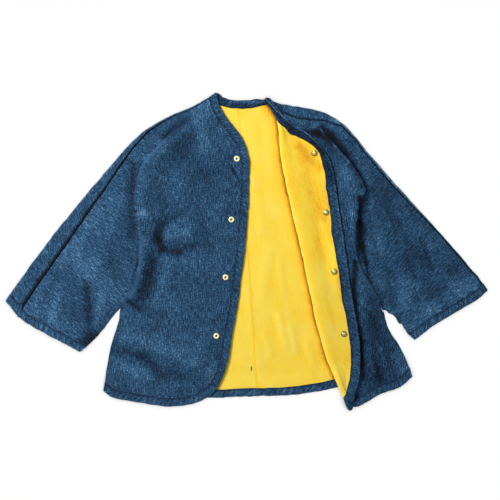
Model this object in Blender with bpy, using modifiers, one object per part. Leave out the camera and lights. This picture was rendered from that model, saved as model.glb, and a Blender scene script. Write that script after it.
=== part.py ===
"""Reversible jacket, laid flat on its back with the wearer's left front folded open.

Sizes in the tables are millimetres. X runs from cuff to cuff, Y from hem to neck and Z is up.
Right and left are the wearer's, so the right front has the smaller X.
"""

import math

import bmesh
import bpy
import numpy as np
from mathutils import Vector
from mathutils.bvhtree import BVHTree

MM = 0.001

# Cloth thicknesses and the air left between pieces.
SHELL = 1.2
LINING = 1.0
TAPE = 0.7
GAP = 0.3
HALF_GAP = GAP / 2
BINDING_WIDTH = 16.0
BINDING_ROUND = 2.0
BINDING_STEPS = (0.15, 0.5, 1.0, 1.7)
BINDING_CAP = ((0, 1, 12, 13), (1, 2, 11, 12), (2, 3, 11), (3, 4, 10, 11), (4, 5, 10),
               (5, 6, 9, 10), (6, 7, 8, 9))
PANEL_SETBACK = 1.6
CORNER_CLEAR = 3.5

# Heights of each panel's reference surface, which lies between shell and lining.
BACK_LEVEL = 1.35
WRAP_RADIUS = 1.6
SLEEVE_LEVEL = BACK_LEVEL + 2 * WRAP_RADIUS
SEAM_LEVEL = 1.8
RIGHT_LEVEL = 3.8
LEFT_LEVEL = 4.1
BOUND_RAISE = 1.2
NECK_RAISE = 2.0
RIGHT_BOUND_RAISE = 2.2
LEFT_BOUND_RAISE = 3.2
CUFF_SEAM_RAISE = 3.3
BOUND_PLATEAU = 22.0
BOUND_REACH = 42.0
BOUND_SLACK = 4.0
FLAP_REST = 4.4
FLAP_SLOPE = 0.08
ROLL_RADIUS = 4.5

# Grid counts.
UPPER_ROWS = 17
LOWER_ROWS = 8
RIGHT_BODY_COLUMNS = 13
LEFT_BODY_COLUMNS = 9
TUCK_TURN_COLUMNS = 4
SLEEVE_COLUMNS = 12
ROLL_COLUMNS = 7
FLAP_COLUMNS = 4
BACK_UPPER_ROWS = 10
BACK_LOWER_ROWS = 6
RIGHT_SHOULDER_COLUMNS = 4
LEFT_SHOULDER_COLUMNS = 5
BACK_NECK_COLUMNS = 3
WRAP_ARC_COLUMNS = 4
WRAP_FLAT_COLUMNS = 2
LINING_COLUMNS = 3
TURN_STEPS = 16

# Lengths used to grade the grids beside bound edges.
UPPER_LENGTH = 390.0
LOWER_LENGTH = 180.0
SLEEVE_LENGTH = 300.0

# How the cloth settles into a seam or folds over itself.
SETTLE = 25.0
TUCK_SPREAD = 9.0
TUCK_RADIUS = 2.05
TUCK_EASE = 0.8
RISE_REACH = 60.0
ROLL_RADIUS_END = 2.7
ROLL_SHARE = 0.16
FLAP_BINDING_LEAST = 2.6
FLAP_BINDING_CLEAR = 2.5
FLAP_BOUND_SHARE = 0.75
WIDTH_STEP = 0.5
RELAX_ROUNDS = 60
LEAN_LEAST = 0.62
HALVES_LEAST = 0.5
CUFF_BLEND = 0.75
SEAT = 0.3


def table(columns, *rows):
    """Rows of numbers as one array for each named column."""
    return dict(zip(columns.split(), np.array(rows, dtype=float).T))


# The sleeve's top edge from neck to cuff. wrap is how far the back panel turns over it.
TOP_EDGE_R = table(
    "x y wrap",
    (-58, 299, 2), (-79, 285, 3), (-107, 271, 4), (-138, 258, 4), (-170, 243, 4), (-202, 220, 7),
    (-235, 187, 12), (-276, 139, 19), (-324, 82, 26), (-373, 21, 31), (-419, -41, 33),
    (-456.8, -96, 36),
)
TOP_EDGE_L = table(
    "x y wrap",
    (37, 289, 3), (60, 279, 12), (90, 274, 21), (121, 268, 21), (151, 260, 15), (174, 247, 6),
    (197, 227, 4), (227, 190, 5), (273, 137, 6), (318, 87, 5), (364, 37, 3), (409, -15, 3),
    (440, -51, 3), (457, -76, 3),
)

CUFF_R = table("x y", (-456.8, -96), (-442, -116), (-419, -136), (-389, -154), (-358, -170),
               (-335, -182), (-316, -193))
CUFF_L = table("x y", (457, -76), (436, -94), (409, -110), (379, -128), (349, -146), (332, -160),
               (319, -170))
UNDERARM_R = table("x y", (-237, -106), (-244, -114), (-259, -133), (-276, -155), (-299, -179),
                   (-316, -193))
UNDERARM_L = table("x y", (254, -100), (261, -110), (275, -121), (288, -137), (303, -155),
                   (319, -170))
SIDE_R = table("x y", (-237, -106), (-242, -133), (-248, -155), (-256, -178), (-261, -201),
               (-265, -224), (-268, -247), (-271, -267))
SIDE_L = table("x y", (254, -100), (261, -121), (267, -144), (276, -161), (288, -178),
               (299, -201), (309, -224), (314, -239))

# The hems from the side seam to the front.
HEM_R = table("x y", (-271, -267), (-256, -278), (-229, -284), (-199, -289), (-168, -294),
              (-138, -296), (-111, -293), (-88, -286), (-69, -275))
HEM_L = table("x y", (314, -239), (303, -250), (284, -262), (259, -270), (233, -281),
              (212, -292), (196, -300))
HEM_BACK_R = table("x y", (-271, -267), (-183, -269), (-117, -276), (-69, -280), (-12, -278),
                   (21, -277))
HEM_BACK_L = table("x y", (314, -239), (244, -247), (180, -257), (140, -267), (102, -274),
                   (45, -275), (21, -277))
NECK_R = table("x y", (-58, 299), (-47, 291), (-29, 286), (-17, 285))
NECK_L = table("x y", (37, 289), (20, 287), (-1, 285), (-17, 285))

# Where the back lining stops, hidden under each front.
LINING_EDGE_R = table("x y", (-58, 299), (-64, 240), (-64, 120), (-72, -100), (-90, -277))
LINING_EDGE_L = table("x y", (37, 289), (62, 262), (78, 228), (92, 150), (124, 10), (158, -120),
                      (196, -254))
CENTRE_TOP = (-17, 285)
CENTRE_HEM = (21, -277)

# The right front's free edge from neck to hem.
FRONT_EDGE_R = table(
    "x y",
    (-58, 299), (-53, 280), (-45, 262), (-29, 240), (-12, 218), (-1, 196), (5, 171), (5, 133),
    (3, 76), (-2, 12), (-9, -41), (-15, -91), (-21, -129), (-28, -167), (-34, -205), (-43, -235),
    (-54, -258), (-69, -275),
)

# Where the body cloth folds over the sleeve, from shoulder to armpit. tuck is the cloth taken up
# and drop is how far the fold stands above the sleeve.
ARMHOLE_R = table(
    "x y tuck drop",
    (-111, 261, 0, 0), (-121, 244, 0, 2.4), (-145, 220, 8, 8.4), (-172, 192, 14, 9),
    (-193, 168, 18, 9.2), (-205, 137, 20, 9.2), (-210, 111, 20, 9.2), (-214, 75, 22, 9.4),
    (-205, 48, 20, 9.2), (-202, 14, 16, 9), (-204, -28, 8, 8.2), (-208, -66, 0, 4.5),
    (-219, -89, 0, 1.5), (-237, -106, 0, 0),
)
ARMHOLE_L = table(
    "x y tuck drop",
    (142, 241, 0, 0), (143, 228, 0, 2.4), (162, 204, 10, 8.4), (181, 182, 14, 9),
    (198, 163, 18, 9.2), (212, 141, 20, 9.2), (224, 113, 22, 9.4), (217, 94, 20, 9.4),
    (207, 46, 20, 9.2), (209, -11, 16, 9), (219, -39, 10, 8.4), (238, -70, 0, 4),
    (254, -100, 0, 0),
)

# The left front's rolled fold and its free edge, both from neck to hem.
ROLL = table(
    "x y",
    (34.5, 281.5), (46, 268), (56, 253), (60, 234), (63, 200), (68, 162), (78, 114), (88, 67),
    (102, 10), (113, -41), (124, -95), (136, -150), (152, -203), (169, -245), (181, -271),
    (187.5, -292.5),
)
FREE_EDGE = table(
    "x y",
    (45, 287), (53, 276), (66, 260), (79, 245), (88, 236), (100, 231), (115, 221), (130, 208),
    (143, 192), (155, 174), (162, 154), (169, 122), (173, 88), (179, 52), (187, -5),
    (193, -45), (200, -89), (208, -136), (214, -176), (215, -203), (214, -230), (210, -254),
    (203, -277), (197, -299),
)

# Width of the binding that shows along the flap's free edge, by its share of the edge's length.
FLAP_BINDING = table("share width", (0, 4), (0.05, 8), (0.1, 10.5), (0.26, 10.5), (0.33, 15),
                     (0.4, 17), (0.5, 18), (0.9, 18), (1, 8))

# Folds and swells in the cloth: a line from start to end, its half width and its height.
FOLDS_R = table(
    "x0 y0 x1 y1 width height",
    (-118, 68, -153, 52, 16, -2.2), (-166, 38, -184, -27, 17, -3.0),
    (-184, -27, -202, -96, 18, -2.4), (-166, 20, -110, -5, 17, -2.0),
    (-190, 110, -140, -70, 34, 3.2), (-60, 210, -110, 40, 46, 3.0),
    (-182, 205, -120, 130, 20, 1.8), (-182, 202, -172, 178, 11, -1.4),
    (-27, 160, -12, 128, 11, -1.6), (-36, 48, -20, 34, 10, -1.4),
    (-120, -60, -80, -210, 48, 3.0), (-246, -190, -200, -205, 16, -1.6),
    (-200, -205, -142, -247, 16, -1.8), (-60, -205, -86, -226, 13, -1.4),
    (-336, 40, -392, -40, 30, 2.4), (-300, -20, -350, -110, 26, 2.0),
    (-290, 92, -262, 20, 24, 1.8), (-384, -108, -300, -70, 18, -1.2),
)
FOLDS_L = table(
    "x0 y0 x1 y1 width height",
    (112, 220, 158, 204, 13, -1.8), (150, 190, 190, 120, 18, 1.6),
    (196, -10, 203, -64, 11, -2.0), (203, -64, 208, -122, 11, -1.8),
    (216, -170, 224, -236, 9, -2.0), (237, -212, 249, -256, 8, 2.2),
    (226, -230, 235, -262, 8, 1.8), (262, -196, 280, -240, 14, 1.6),
    (228, -80, 250, -190, 20, 1.8), (300, 60, 372, -30, 28, 2.4),
    (270, 60, 318, -70, 24, 2.0), (330, -60, 392, -100, 20, -1.2),
)
FOLDS_FLAP = table(
    "x0 y0 x1 y1 width height",
    (96, 190, 118, 96, 20, 1.6), (124, 60, 150, -70, 24, 1.8), (158, -120, 178, -210, 18, 1.4),
    (140, 150, 150, 90, 12, -1.0), (164, -40, 176, -110, 12, -1.0),
)

# Snap places and sizes.
RING_SNAPS = table("x y", (-18, 173), (-29, 58), (-40, -51), (-57, -163))
CAP_SNAPS = table("x y", (128, 183), (150, 72), (166, -40), (184, -158))
RING_PROFILE = table("radius height", (5.7, 0), (5.4, 1.1), (4.2, 1.8), (2.7, 1.7), (1.9, 0.9),
                     (1.9, 0))
CAP_PROFILE = table("radius height", (0, 0), (5.6, 0), (5.8, 0.7), (4.6, 1.9), (2.4, 2.8),
                    (0, 3.1))

# Offsets of each layer from its reference surface, outwards from the cloth's right side.
FRONT_SHELL_SPAN = (HALF_GAP, HALF_GAP + SHELL)
FRONT_LINING_SPAN = (-HALF_GAP - LINING, -HALF_GAP)
BACK_SHELL_SPAN = (-HALF_GAP - SHELL, -HALF_GAP)
BACK_LINING_SPAN = (HALF_GAP, HALF_GAP + LINING)

COLOURS = table("r g b", (0.032, 0.072, 0.13), (0.91, 0.65, 0.07), (0.72, 0.56, 0.30))


def smooth(value):
    """Ease from 0 to 1."""
    value = np.clip(value, 0.0, 1.0)
    return value * value * (3 - 2 * value)


def plan(rows):
    """The x and y columns of a table as points."""
    return np.column_stack([rows["x"], rows["y"]])


def sample(values, fractions, fineness=24):
    """Smooth line through the given rows, taken at fractions of its length in plan."""
    values = np.asarray(values, dtype=float)
    steps = np.linalg.norm(np.diff(values[:, :2], axis=0), axis=1)
    knots = np.concatenate([[0.0], np.cumsum(np.maximum(steps, 1e-6))])
    slopes = np.gradient(values, knots, axis=0)
    dense = []
    for k in range(len(knots) - 1):
        span = knots[k + 1] - knots[k]
        t = np.linspace(0, 1, fineness, endpoint=k == len(knots) - 2)[:, None]
        dense.append(
            values[k] * (2 * t**3 - 3 * t**2 + 1)
            + values[k + 1] * (3 * t**2 - 2 * t**3)
            + slopes[k] * span * (t**3 - 2 * t**2 + t)
            + slopes[k + 1] * span * (t**3 - t**2)
        )
    dense = np.vstack(dense)
    lengths = np.linalg.norm(np.diff(dense[:, :2], axis=0), axis=1)
    along = np.concatenate([[0.0], np.cumsum(lengths)])
    along /= along[-1]
    return np.column_stack([np.interp(fractions, along, column) for column in dense.T])


def even(count):
    """Fractions from 0 to 1 for the given number of cells."""
    return np.linspace(0, 1, count + 1)


def directions(line):
    """Unit directions along a line in plan."""
    along = np.gradient(line[:, :2], axis=0)
    return along / np.linalg.norm(along, axis=1)[:, None]


def coons(top, bottom, left, right, across=None, down=None):
    """Fill the space between four lines with a grid of plan points, rows from top to bottom."""
    left = left.copy()
    right = right.copy()
    left[0], left[-1], right[0], right[-1] = top[0], bottom[0], top[-1], bottom[-1]
    v = even(len(left) - 1)[:, None, None] if down is None else down[:, None, None]
    u = even(len(top) - 1)[None, :, None] if across is None else across[None, :, None]
    between_rows = (1 - v) * top[None] + v * bottom[None]
    between_columns = (1 - u) * left[:, None] + u * right[:, None]
    corners = (
        (1 - v) * ((1 - u) * top[0] + u * top[-1]) + v * ((1 - u) * bottom[0] + u * bottom[-1])
    )
    return between_rows + between_columns - corners


def relaxed(grid, fixed):
    """Even out a grid in plan, keeping its borders and its first few columns."""
    grid = grid.copy()
    for _ in range(RELAX_ROUNDS):
        around = (grid[:-2] + grid[2:])[:, 1:-1] + (grid[:, :-2] + grid[:, 2:])[1:-1]
        grid[1:-1, fixed:-1] = around[:, fixed - 1:] / 4
    return grid


def distance(points, line):
    """Distance in plan from each point to a line."""
    flat = points.reshape(-1, 2)
    best = np.full(len(flat), 1e9)
    for start, end in zip(line[:-1], line[1:]):
        run = end - start
        share = np.clip((flat - start) @ run / max(run @ run, 1e-9), 0, 1)
        best = np.minimum(best, np.linalg.norm(flat - start - share[:, None] * run, axis=1))
    return best.reshape(points.shape[:-1])


def relief(points, folds):
    """Height added by a table of folds at plan points."""
    height = np.zeros(points.shape[:-1])
    for x0, y0, x1, y1, width, tall in zip(*folds.values()):
        away = distance(points, np.array([[x0, y0], [x1, y1]]))
        height += tall * np.exp(-((away / width) ** 2))
    return height


def bound_zone(points, lines):
    """1 beside the given bound edges, easing to 0 beyond the binding."""
    zone = np.zeros(points.shape[:-1])
    for line in lines:
        away = distance(points, line) - BOUND_SLACK
        zone = np.maximum(zone, 1 - smooth((away - BOUND_PLATEAU) / (BOUND_REACH - BOUND_PLATEAU)))
    return zone


def lift(points, heights):
    """Plan points with their heights."""
    return np.concatenate([points, np.asarray(heights)[..., None]], axis=-1)


class Surface:
    """Reference surface of a panel: welded points and four-sided faces."""

    def __init__(self, mirrored):
        self.mirrored = mirrored
        self.points = []
        self.places = {}
        self.faces = []
        self.upright = []

    def add(self, grid):
        """Add a grid of points and return their numbers."""
        numbers = np.empty(grid.shape[:2], dtype=int)
        for place in np.ndindex(numbers.shape):
            point = grid[place]
            key = tuple(np.round(point, 3))
            if key not in self.places:
                self.places[key] = len(self.points)
                self.points.append(point)
            numbers[place] = self.places[key]
        return numbers

    def fill(self, numbers):
        """Make faces between neighbouring points of a grid and return them."""
        made = []
        for i in range(numbers.shape[0] - 1):
            for j in range(numbers.shape[1] - 1):
                face = [numbers[i, j], numbers[i + 1, j], numbers[i + 1, j + 1], numbers[i, j + 1]]
                if self.mirrored:
                    face.reverse()
                face = list(dict.fromkeys(face))
                if len(face) == 4 and self.bends_back(face):
                    face = face[1:] + face[:1]
                if len(face) > 2:
                    made.append(face)
        self.faces += made
        return made

    def bends_back(self, face):
        """Whether the two halves of a face, split from its first corner, face well apart."""
        corners = np.array([self.points[number] for number in face])
        first = np.cross(corners[1] - corners[0], corners[2] - corners[0])
        second = np.cross(corners[2] - corners[0], corners[3] - corners[0])
        size = max(np.linalg.norm(first) * np.linalg.norm(second), 1e-9)
        return first @ second / size < HALVES_LEAST

    def normals(self):
        """Unit normals at the points, averaged from the faces round each but upright at seams."""
        points = np.array(self.points)
        total = np.zeros_like(points)
        for face in self.faces:
            corners = points[face]
            after = np.roll(corners, -1, axis=0)
            normal = np.cross(corners, after).sum(axis=0)
            total[face] += normal / max(np.linalg.norm(normal), 1e-9)
        total[self.upright] = (0.0, 0.0, 1.0)
        size = np.linalg.norm(total, axis=1)[:, None]
        return total / np.maximum(size, 1e-9)

    def wall(self, span, faces=None, paths=()):
        """A closed wall between two offsets of the surface, set back at its bound edges."""
        faces = self.faces if faces is None else faces
        points = np.array(self.points)
        normals = self.normals()
        for path in paths:
            points[path.number] = path.setback
        used = sorted({number for face in faces for number in face})
        low = {number: place for place, number in enumerate(used)}
        count = len(used)
        shape = np.vstack([points[used] + span[0] * normals[used],
                           points[used] + span[1] * normals[used]])
        solid = []
        edges = {}
        for face in faces:
            for after in range(1, len(face) - 1):
                corner = [low[face[0]], low[face[after]], low[face[after + 1]]]
                solid.append([number + count for number in corner])
                solid.append(corner[::-1])
            for start, end in zip(face, face[1:] + face[:1]):
                edges[start, end] = True
        for start, end in edges:
            if (end, start) not in edges:
                solid.append([low[end] + count, low[start] + count, low[start], low[end]])
        return shape, solid


class EdgePath:
    """A line inwards from a bound edge, with normals that face the cloth's right side.

    number is the surface's point at the edge and setback is where the panel's own edge lies.
    """

    def __init__(self, points, normals, number):
        self.points = points
        self.normals = normals
        self.number = number
        self.setback = self.at(PANEL_SETBACK)[0]

    def at(self, reach):
        """Point and normal at a distance along the path."""
        steps = np.linalg.norm(np.diff(self.points, axis=0), axis=1)
        along = np.concatenate([[0.0], np.cumsum(steps)])
        place = np.array([np.interp(reach, along, column) for column in self.points.T])
        normal = np.array([np.interp(reach, along, column) for column in self.normals.T])
        return place, normal / np.linalg.norm(normal)


def traced(surface, paths, sign=1):
    """Edge paths that follow rows of a surface's point numbers."""
    points = np.array(surface.points)
    normals = sign * surface.normals()
    return [EdgePath(points[path], normals[path], path[0]) for path in paths]


def bind(paths, inner, widths=None):
    """A folded tape round an edge, its two legs either side of the cloth."""
    count = len(paths)
    widths = np.full(count, BINDING_WIDTH) if widths is None else widths
    edge = np.array([path.points[0] for path in paths])
    along = np.gradient(edge, axis=0)
    outer = (inner[0] - TAPE, inner[1] + TAPE)
    third = (outer[1] - outer[0]) / 4
    slot = PANEL_SETBACK - GAP
    shape = []
    for k, path in enumerate(paths):
        width = widths[k]
        inward = path.at(width)[0] - edge[k]
        cross = np.linalg.norm(np.cross(inward, along[k]))
        lean = cross / max(np.linalg.norm(inward) * np.linalg.norm(along[k]), 1e-9)
        width /= max(lean, LEAN_LEAST)
        middle = (width + BINDING_ROUND) / 2
        section = [
            (width, outer[1]), (middle, outer[1]), (BINDING_ROUND, outer[1]),
            (0.0, outer[1] - third), (0.0, outer[0] + third),
            (BINDING_ROUND, outer[0]), (middle, outer[0]), (width, outer[0]),
            (width, inner[0]), (middle, inner[0]), (slot, inner[0]),
            (slot, inner[1]), (middle, inner[1]), (width, inner[1]),
        ]
        for reach, offset in section:
            place, normal = path.at(reach)
            shape.append(place + offset * normal)
    size = len(section)
    solid = []
    for k in range(count - 1):
        for j in range(size):
            after = (j + 1) % size
            solid.append([k * size + j, k * size + after, (k + 1) * size + after,
                          (k + 1) * size + j])
    for base, turn in ((0, False), ((count - 1) * size, True)):
        for corners in BINDING_CAP:
            cap = [base + corner for corner in corners]
            solid.append(cap if turn else cap[::-1])
    return np.array(shape), solid


def squared(surface, faces, guides, late=(), sign=1):
    """Edge paths square to an edge in plan, laid on the given faces of a surface.

    The first and last follow the guides, so that the strip ends along the panel's own sides. At
    a late end the strip is square too and stops short of the panel's corner. sign is -1 where the
    cloth's wrong side is up.
    """
    points = np.array(surface.points)
    edge = points[[guide[0] for guide in guides]]
    tree = BVHTree.FromPolygons([tuple(point) for point in points], faces)
    steps = np.diff(edge[:, :2], axis=0)
    steps /= np.linalg.norm(steps, axis=1)[:, None]
    way = np.vstack([steps[:1], steps[:-1] + steps[1:], steps[-1:]])
    way /= np.linalg.norm(way, axis=1)[:, None]
    inwards = np.column_stack([way[:, 1], -way[:, 0]])
    for end in (0, len(guides) - 1):
        run = points[guides[end][1], :2] - edge[end, :2]
        if end not in late:
            inwards[end] = run / np.linalg.norm(run)
    paths = []
    for start, inward, guide in zip(edge, inwards, guides):
        line = [start]
        normals = []
        for reach in BINDING_WIDTH * np.array(BINDING_STEPS):
            place = start[:2] + inward * reach
            hit, normal = tree.ray_cast(Vector((*place, 100.0)), Vector((0, 0, -1)))[:2]
            if hit is None:
                hit, normal = tree.find_nearest(Vector((*place, start[2])))[:2]
            line.append(np.array([*place, hit.z]))
            normals.append(sign * np.array(normal if normal.z > 0 else -normal))
        paths.append(EdgePath(np.array(line), np.array(normals[:1] + normals), guide[0]))
    for end, inner in ((0, 1), (len(guides) - 1, len(guides) - 2)):
        if end in late:
            run = paths[inner].points[0] - paths[end].points[0]
            paths[end].points += run * CORNER_CLEAR / np.linalg.norm(run)
    return paths


def make_object(name, shape, solid, material, collection):
    """Turn points in millimetres and faces into one closed object."""
    mesh = bpy.data.meshes.new(name)
    mesh.from_pydata([tuple(point) for point in np.asarray(shape) * MM], [], solid)
    work = bmesh.new()
    work.from_mesh(mesh)
    bmesh.ops.recalc_face_normals(work, faces=work.faces)
    work.to_mesh(mesh)
    work.free()
    mesh.materials.append(material)
    mesh.update()
    result = bpy.data.objects.new(name, mesh)
    collection.objects.link(result)
    return result


def graded(count, length):
    """Even fractions, but with the last two cells sized for a binding and its lead-in."""
    first = np.linspace(0, 1 - BOUND_REACH / length, count - 1)
    return np.append(first, [1 - BOUND_PLATEAU / length, 1.0])


def top_line(edge, cuff, fractions, side, inset, wrapped):
    """The sleeve's top edge moved inwards, with its wrap and inward direction."""
    fine = sample(np.column_stack(list(edge.values())), even(400))
    way = directions(fine)
    inwards = side * np.column_stack([-way[:, 1], way[:, 0]])
    fine_cuff = sample(cuff, even(200))
    spans = np.linalg.norm(fine_cuff - fine_cuff[0], axis=1)
    towards = fine_cuff[np.argmin(np.abs(spans - fine[-1, 2] - inset))] - fine_cuff[0]
    towards = towards / max(np.linalg.norm(towards), 1e-6)
    turn = smooth((even(400) - CUFF_BLEND) / (1 - CUFF_BLEND))[:, None]
    inwards = inwards * (1 - turn) + towards * turn
    inwards /= np.linalg.norm(inwards, axis=1)[:, None]
    reach = inset + (fine[:, 2] if wrapped else 0.0)
    moved = fine[:, :2] + inwards * np.broadcast_to(reach, len(fine))[:, None]
    columns = np.column_stack([moved, fine[:, 2], inwards]).T
    return np.column_stack([np.interp(fractions, even(400), column) for column in columns])


def nearest_fraction(line, point):
    """Fraction of a line's length nearest to a point."""
    fine = sample(line, even(800))
    return float(np.argmin(np.linalg.norm(fine[:, :2] - np.asarray(point), axis=1)) / 800)


class Half:
    """Lines and heights for one side of the jacket."""

    def __init__(self, side, top_edge, cuff, underarm, seam, hem, hem_back, neck, armhole, folds,
                 level, bound_raise, lining_edge, columns, shoulder_columns):
        self.side = side
        self.top_edge = top_edge
        self.cuff = plan(cuff)
        self.underarm = plan(underarm)
        self.seam = plan(seam)
        self.hem = plan(hem)
        self.hem_back = plan(hem_back)
        self.neck = plan(neck)
        self.armhole = armhole
        self.folds = folds
        self.level = level
        self.bound_raise = bound_raise
        self.shoulder_columns = shoulder_columns
        self.lining_edge = plan(lining_edge)
        self.hem_share = nearest_fraction(self.hem_back, self.lining_edge[-1])
        self.columns = columns
        self.fine_cuff = sample(self.cuff, even(60))
        self.fine_neck = sample(self.neck, even(20))
        self.fine_hem_back = sample(self.hem_back, even(60))
        self.fine_hem = sample(self.hem, even(60))
        turn = nearest_fraction(plan(top_edge), (armhole["x"][0], armhole["y"][0]))
        self.stations = np.append(turn * even(shoulder_columns)[:-1],
                                  turn + (1 - turn) * graded(SLEEVE_COLUMNS, SLEEVE_LENGTH))
        self.fine_top = top_line(top_edge, self.cuff, self.stations, side, GAP, True)[:, :2]

    def back_height(self, points, on_arm):
        """Reference height of the back at plan points."""
        bound = [self.fine_cuff] if on_arm else [self.fine_hem_back, self.fine_neck]
        return BACK_LEVEL + BOUND_RAISE * bound_zone(points, bound)

    def sleeve_height(self, points):
        """Reference height of the sleeve's upper cloth at plan points."""
        near_cuff = bound_zone(points, [self.fine_cuff])
        swell = np.maximum(relief(points, self.folds), -1.0)
        swell *= (1 - near_cuff) * smooth(distance(points, self.fine_top) / SETTLE)
        inner = SLEEVE_LEVEL + BOUND_RAISE * near_cuff + swell
        edge = SEAM_LEVEL + CUFF_SEAM_RAISE * near_cuff
        return edge + (inner - edge) * smooth(distance(points, self.underarm) / SETTLE)

    def body_height(self, points):
        """Reference height of the front at plan points."""
        near_neck = bound_zone(points, [self.fine_neck])
        near_bound = bound_zone(points, [self.fine_neck, self.fine_hem_back, self.fine_hem])
        swell = np.maximum(relief(points, self.folds), -0.3)
        inner = self.level + self.bound_raise * near_bound + swell * (1 - near_bound)
        top = SLEEVE_LEVEL + NECK_RAISE * near_neck
        inner = top + (inner - top) * smooth(distance(points, self.fine_top) / SETTLE)
        edge = SEAM_LEVEL + (self.level + self.bound_raise - SEAM_LEVEL) * near_bound
        return edge + (inner - edge) * smooth(distance(points, self.seam) / SETTLE)


def wrap_grid(line, half, on_arm):
    """The strip of back cloth turned over the top edge, one row for each station."""
    half_turn = math.pi * WRAP_RADIUS
    grid = []
    for x, y, wrap, inward_x, inward_y in line:
        base = half.back_height(np.array([[x, y]]), on_arm)[0]
        total = half_turn + wrap - HALF_GAP - SHELL - WRAP_RADIUS
        first = min(total, half_turn)
        ways = np.append(np.linspace(0, first, WRAP_ARC_COLUMNS + 1),
                         np.linspace(first, total, WRAP_FLAT_COLUMNS + 1)[1:])
        if total <= half_turn + WRAP_RADIUS:
            ways = np.linspace(0, total, WRAP_ARC_COLUMNS + WRAP_FLAT_COLUMNS + 1)
        angles = np.minimum(ways / WRAP_RADIUS, math.pi)
        inset = np.maximum(ways - half_turn, 0.0) - WRAP_RADIUS * np.sin(angles)
        grid.append(np.column_stack([x + inward_x * inset, y + inward_y * inset,
                                     base + WRAP_RADIUS * (1 - np.cos(angles))]))
    return np.array(grid)


class Back:
    """One half of the back: body and sleeve in one piece, turned over the sleeve's top edge."""

    def __init__(self, half):
        self.half = half
        self.surface = Surface(mirrored=half.side < 0)
        upper_rows = 1 - graded(BACK_UPPER_ROWS, UPPER_LENGTH)[::-1]
        lower_rows = graded(BACK_LOWER_ROWS, LOWER_LENGTH)
        sleeve_columns = graded(SLEEVE_COLUMNS, SLEEVE_LENGTH)
        split = half.shoulder_columns
        inset = HALF_GAP + SHELL + WRAP_RADIUS
        over = top_line(half.top_edge, half.cuff, half.stations, half.side, inset, False)
        over_body, over_arm = over[:split + 1], over[split:]
        armpit = half.underarm[0]
        arm_line = over_arm[0, :2] + (armpit - over_arm[0, :2]) * upper_rows[:, None]
        cuff = sample(half.cuff, upper_rows)
        cuff[0] = over_arm[-1, :2]
        under = sample(half.underarm, sleeve_columns)
        sleeve = coons(over_arm[::-1, :2], under[::-1], cuff, arm_line,
                       1 - sleeve_columns[::-1], upper_rows)
        rows = np.append(upper_rows * UPPER_LENGTH, UPPER_LENGTH + lower_rows[1:] * LOWER_LENGTH)
        rows /= rows[-1]
        neck_point = over_body[0, :2]
        hem_point = sample(half.hem_back, [half.hem_share])[0]
        peak_line = sample(half.lining_edge, rows)
        peak_line[0], peak_line[-1] = neck_point, hem_point
        top, bottom = np.array(CENTRE_TOP, dtype=float), np.array(CENTRE_HEM, dtype=float)
        top[0] -= half.side * HALF_GAP
        bottom[0] -= half.side * HALF_GAP
        centre_line = top + (bottom - top) * rows[:, None]
        waist = armpit + (peak_line[BACK_UPPER_ROWS] - armpit) * even(split)[:, None]
        upper = coons(over_body[::-1, :2], waist, arm_line, peak_line[:BACK_UPPER_ROWS + 1],
                      down=upper_rows)
        hem_out = sample(half.hem_back, half.hem_share * even(split))
        lower = coons(waist, hem_out, sample(half.seam, lower_rows), peak_line[BACK_UPPER_ROWS:],
                      down=lower_rows)
        neck = sample(half.neck, even(BACK_NECK_COLUMNS))
        neck[0], neck[-1] = neck_point, top
        hem_in = sample(half.hem_back, np.linspace(half.hem_share, 1, BACK_NECK_COLUMNS + 1))
        hem_in[-1] = bottom
        middle = coons(neck, hem_in, peak_line, centre_line, down=rows)
        self.sleeve, self.upper, self.lower, self.middle = (
            self.surface.add(lift(grid, half.back_height(grid, grid is sleeve)))
            for grid in (sleeve, upper, lower, middle)
        )
        self.wrap_body = self.surface.add(wrap_grid(over_body, half, False))
        self.wrap_arm = self.surface.add(wrap_grid(over_arm, half, True))
        for grid in (self.sleeve, self.upper, self.lower):
            self.surface.fill(grid)
        self.lining_faces = self.surface.fill(self.middle)
        self.flat_faces = list(self.surface.faces)
        for grid in (self.wrap_body, self.wrap_arm):
            self.surface.fill(grid[::-1, ::-1].T)
        body = np.hstack([np.vstack([self.upper, self.lower[1:]])[:, :-1], self.middle])
        self.hem_paths = [list(body[::-1, column]) for column in range(body.shape[1])]
        self.neck_paths = [list(self.middle[:, column]) for column in range(self.middle.shape[1])]
        self.cuff_paths = [list(row) for row in self.sleeve[::-1]]
        self.cuff_paths += [list(self.wrap_arm[::-1, k]) for k in range(1, self.wrap_arm.shape[1])]

    def bound_paths(self):
        """Inward paths at every bound edge of the shell."""
        return self.hem_paths + self.neck_paths + self.cuff_paths


def tuck_section(tuck, drop):
    """Points across one row of the fold, outwards and up, from the body down to the sleeve."""
    radius = max(drop / 4, TUCK_RADIUS)
    angle = math.acos(max(1 - drop / (2 * radius), -1.0))
    length = tuck * smooth((drop - 4 * TUCK_RADIUS) / TUCK_EASE)
    turns = angle * even(TUCK_TURN_COLUMNS)
    out = radius * np.sin(turns)
    down = radius * (1 - np.cos(turns))
    across = np.append(out, 2 * out[-1] + length * math.cos(angle) - out[::-1]) - radius
    below = np.append(down, 2 * down[-1] + length * math.sin(angle) - down[::-1])
    share = even(len(across) - 1)
    formed = smooth(drop / (2 * TUCK_RADIUS))
    across = across * formed + TUCK_SPREAD * (share - 0.25) * (1 - formed)
    below = below * formed + drop * smooth(share) * (1 - formed)
    return np.column_stack([across, -below])


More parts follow.
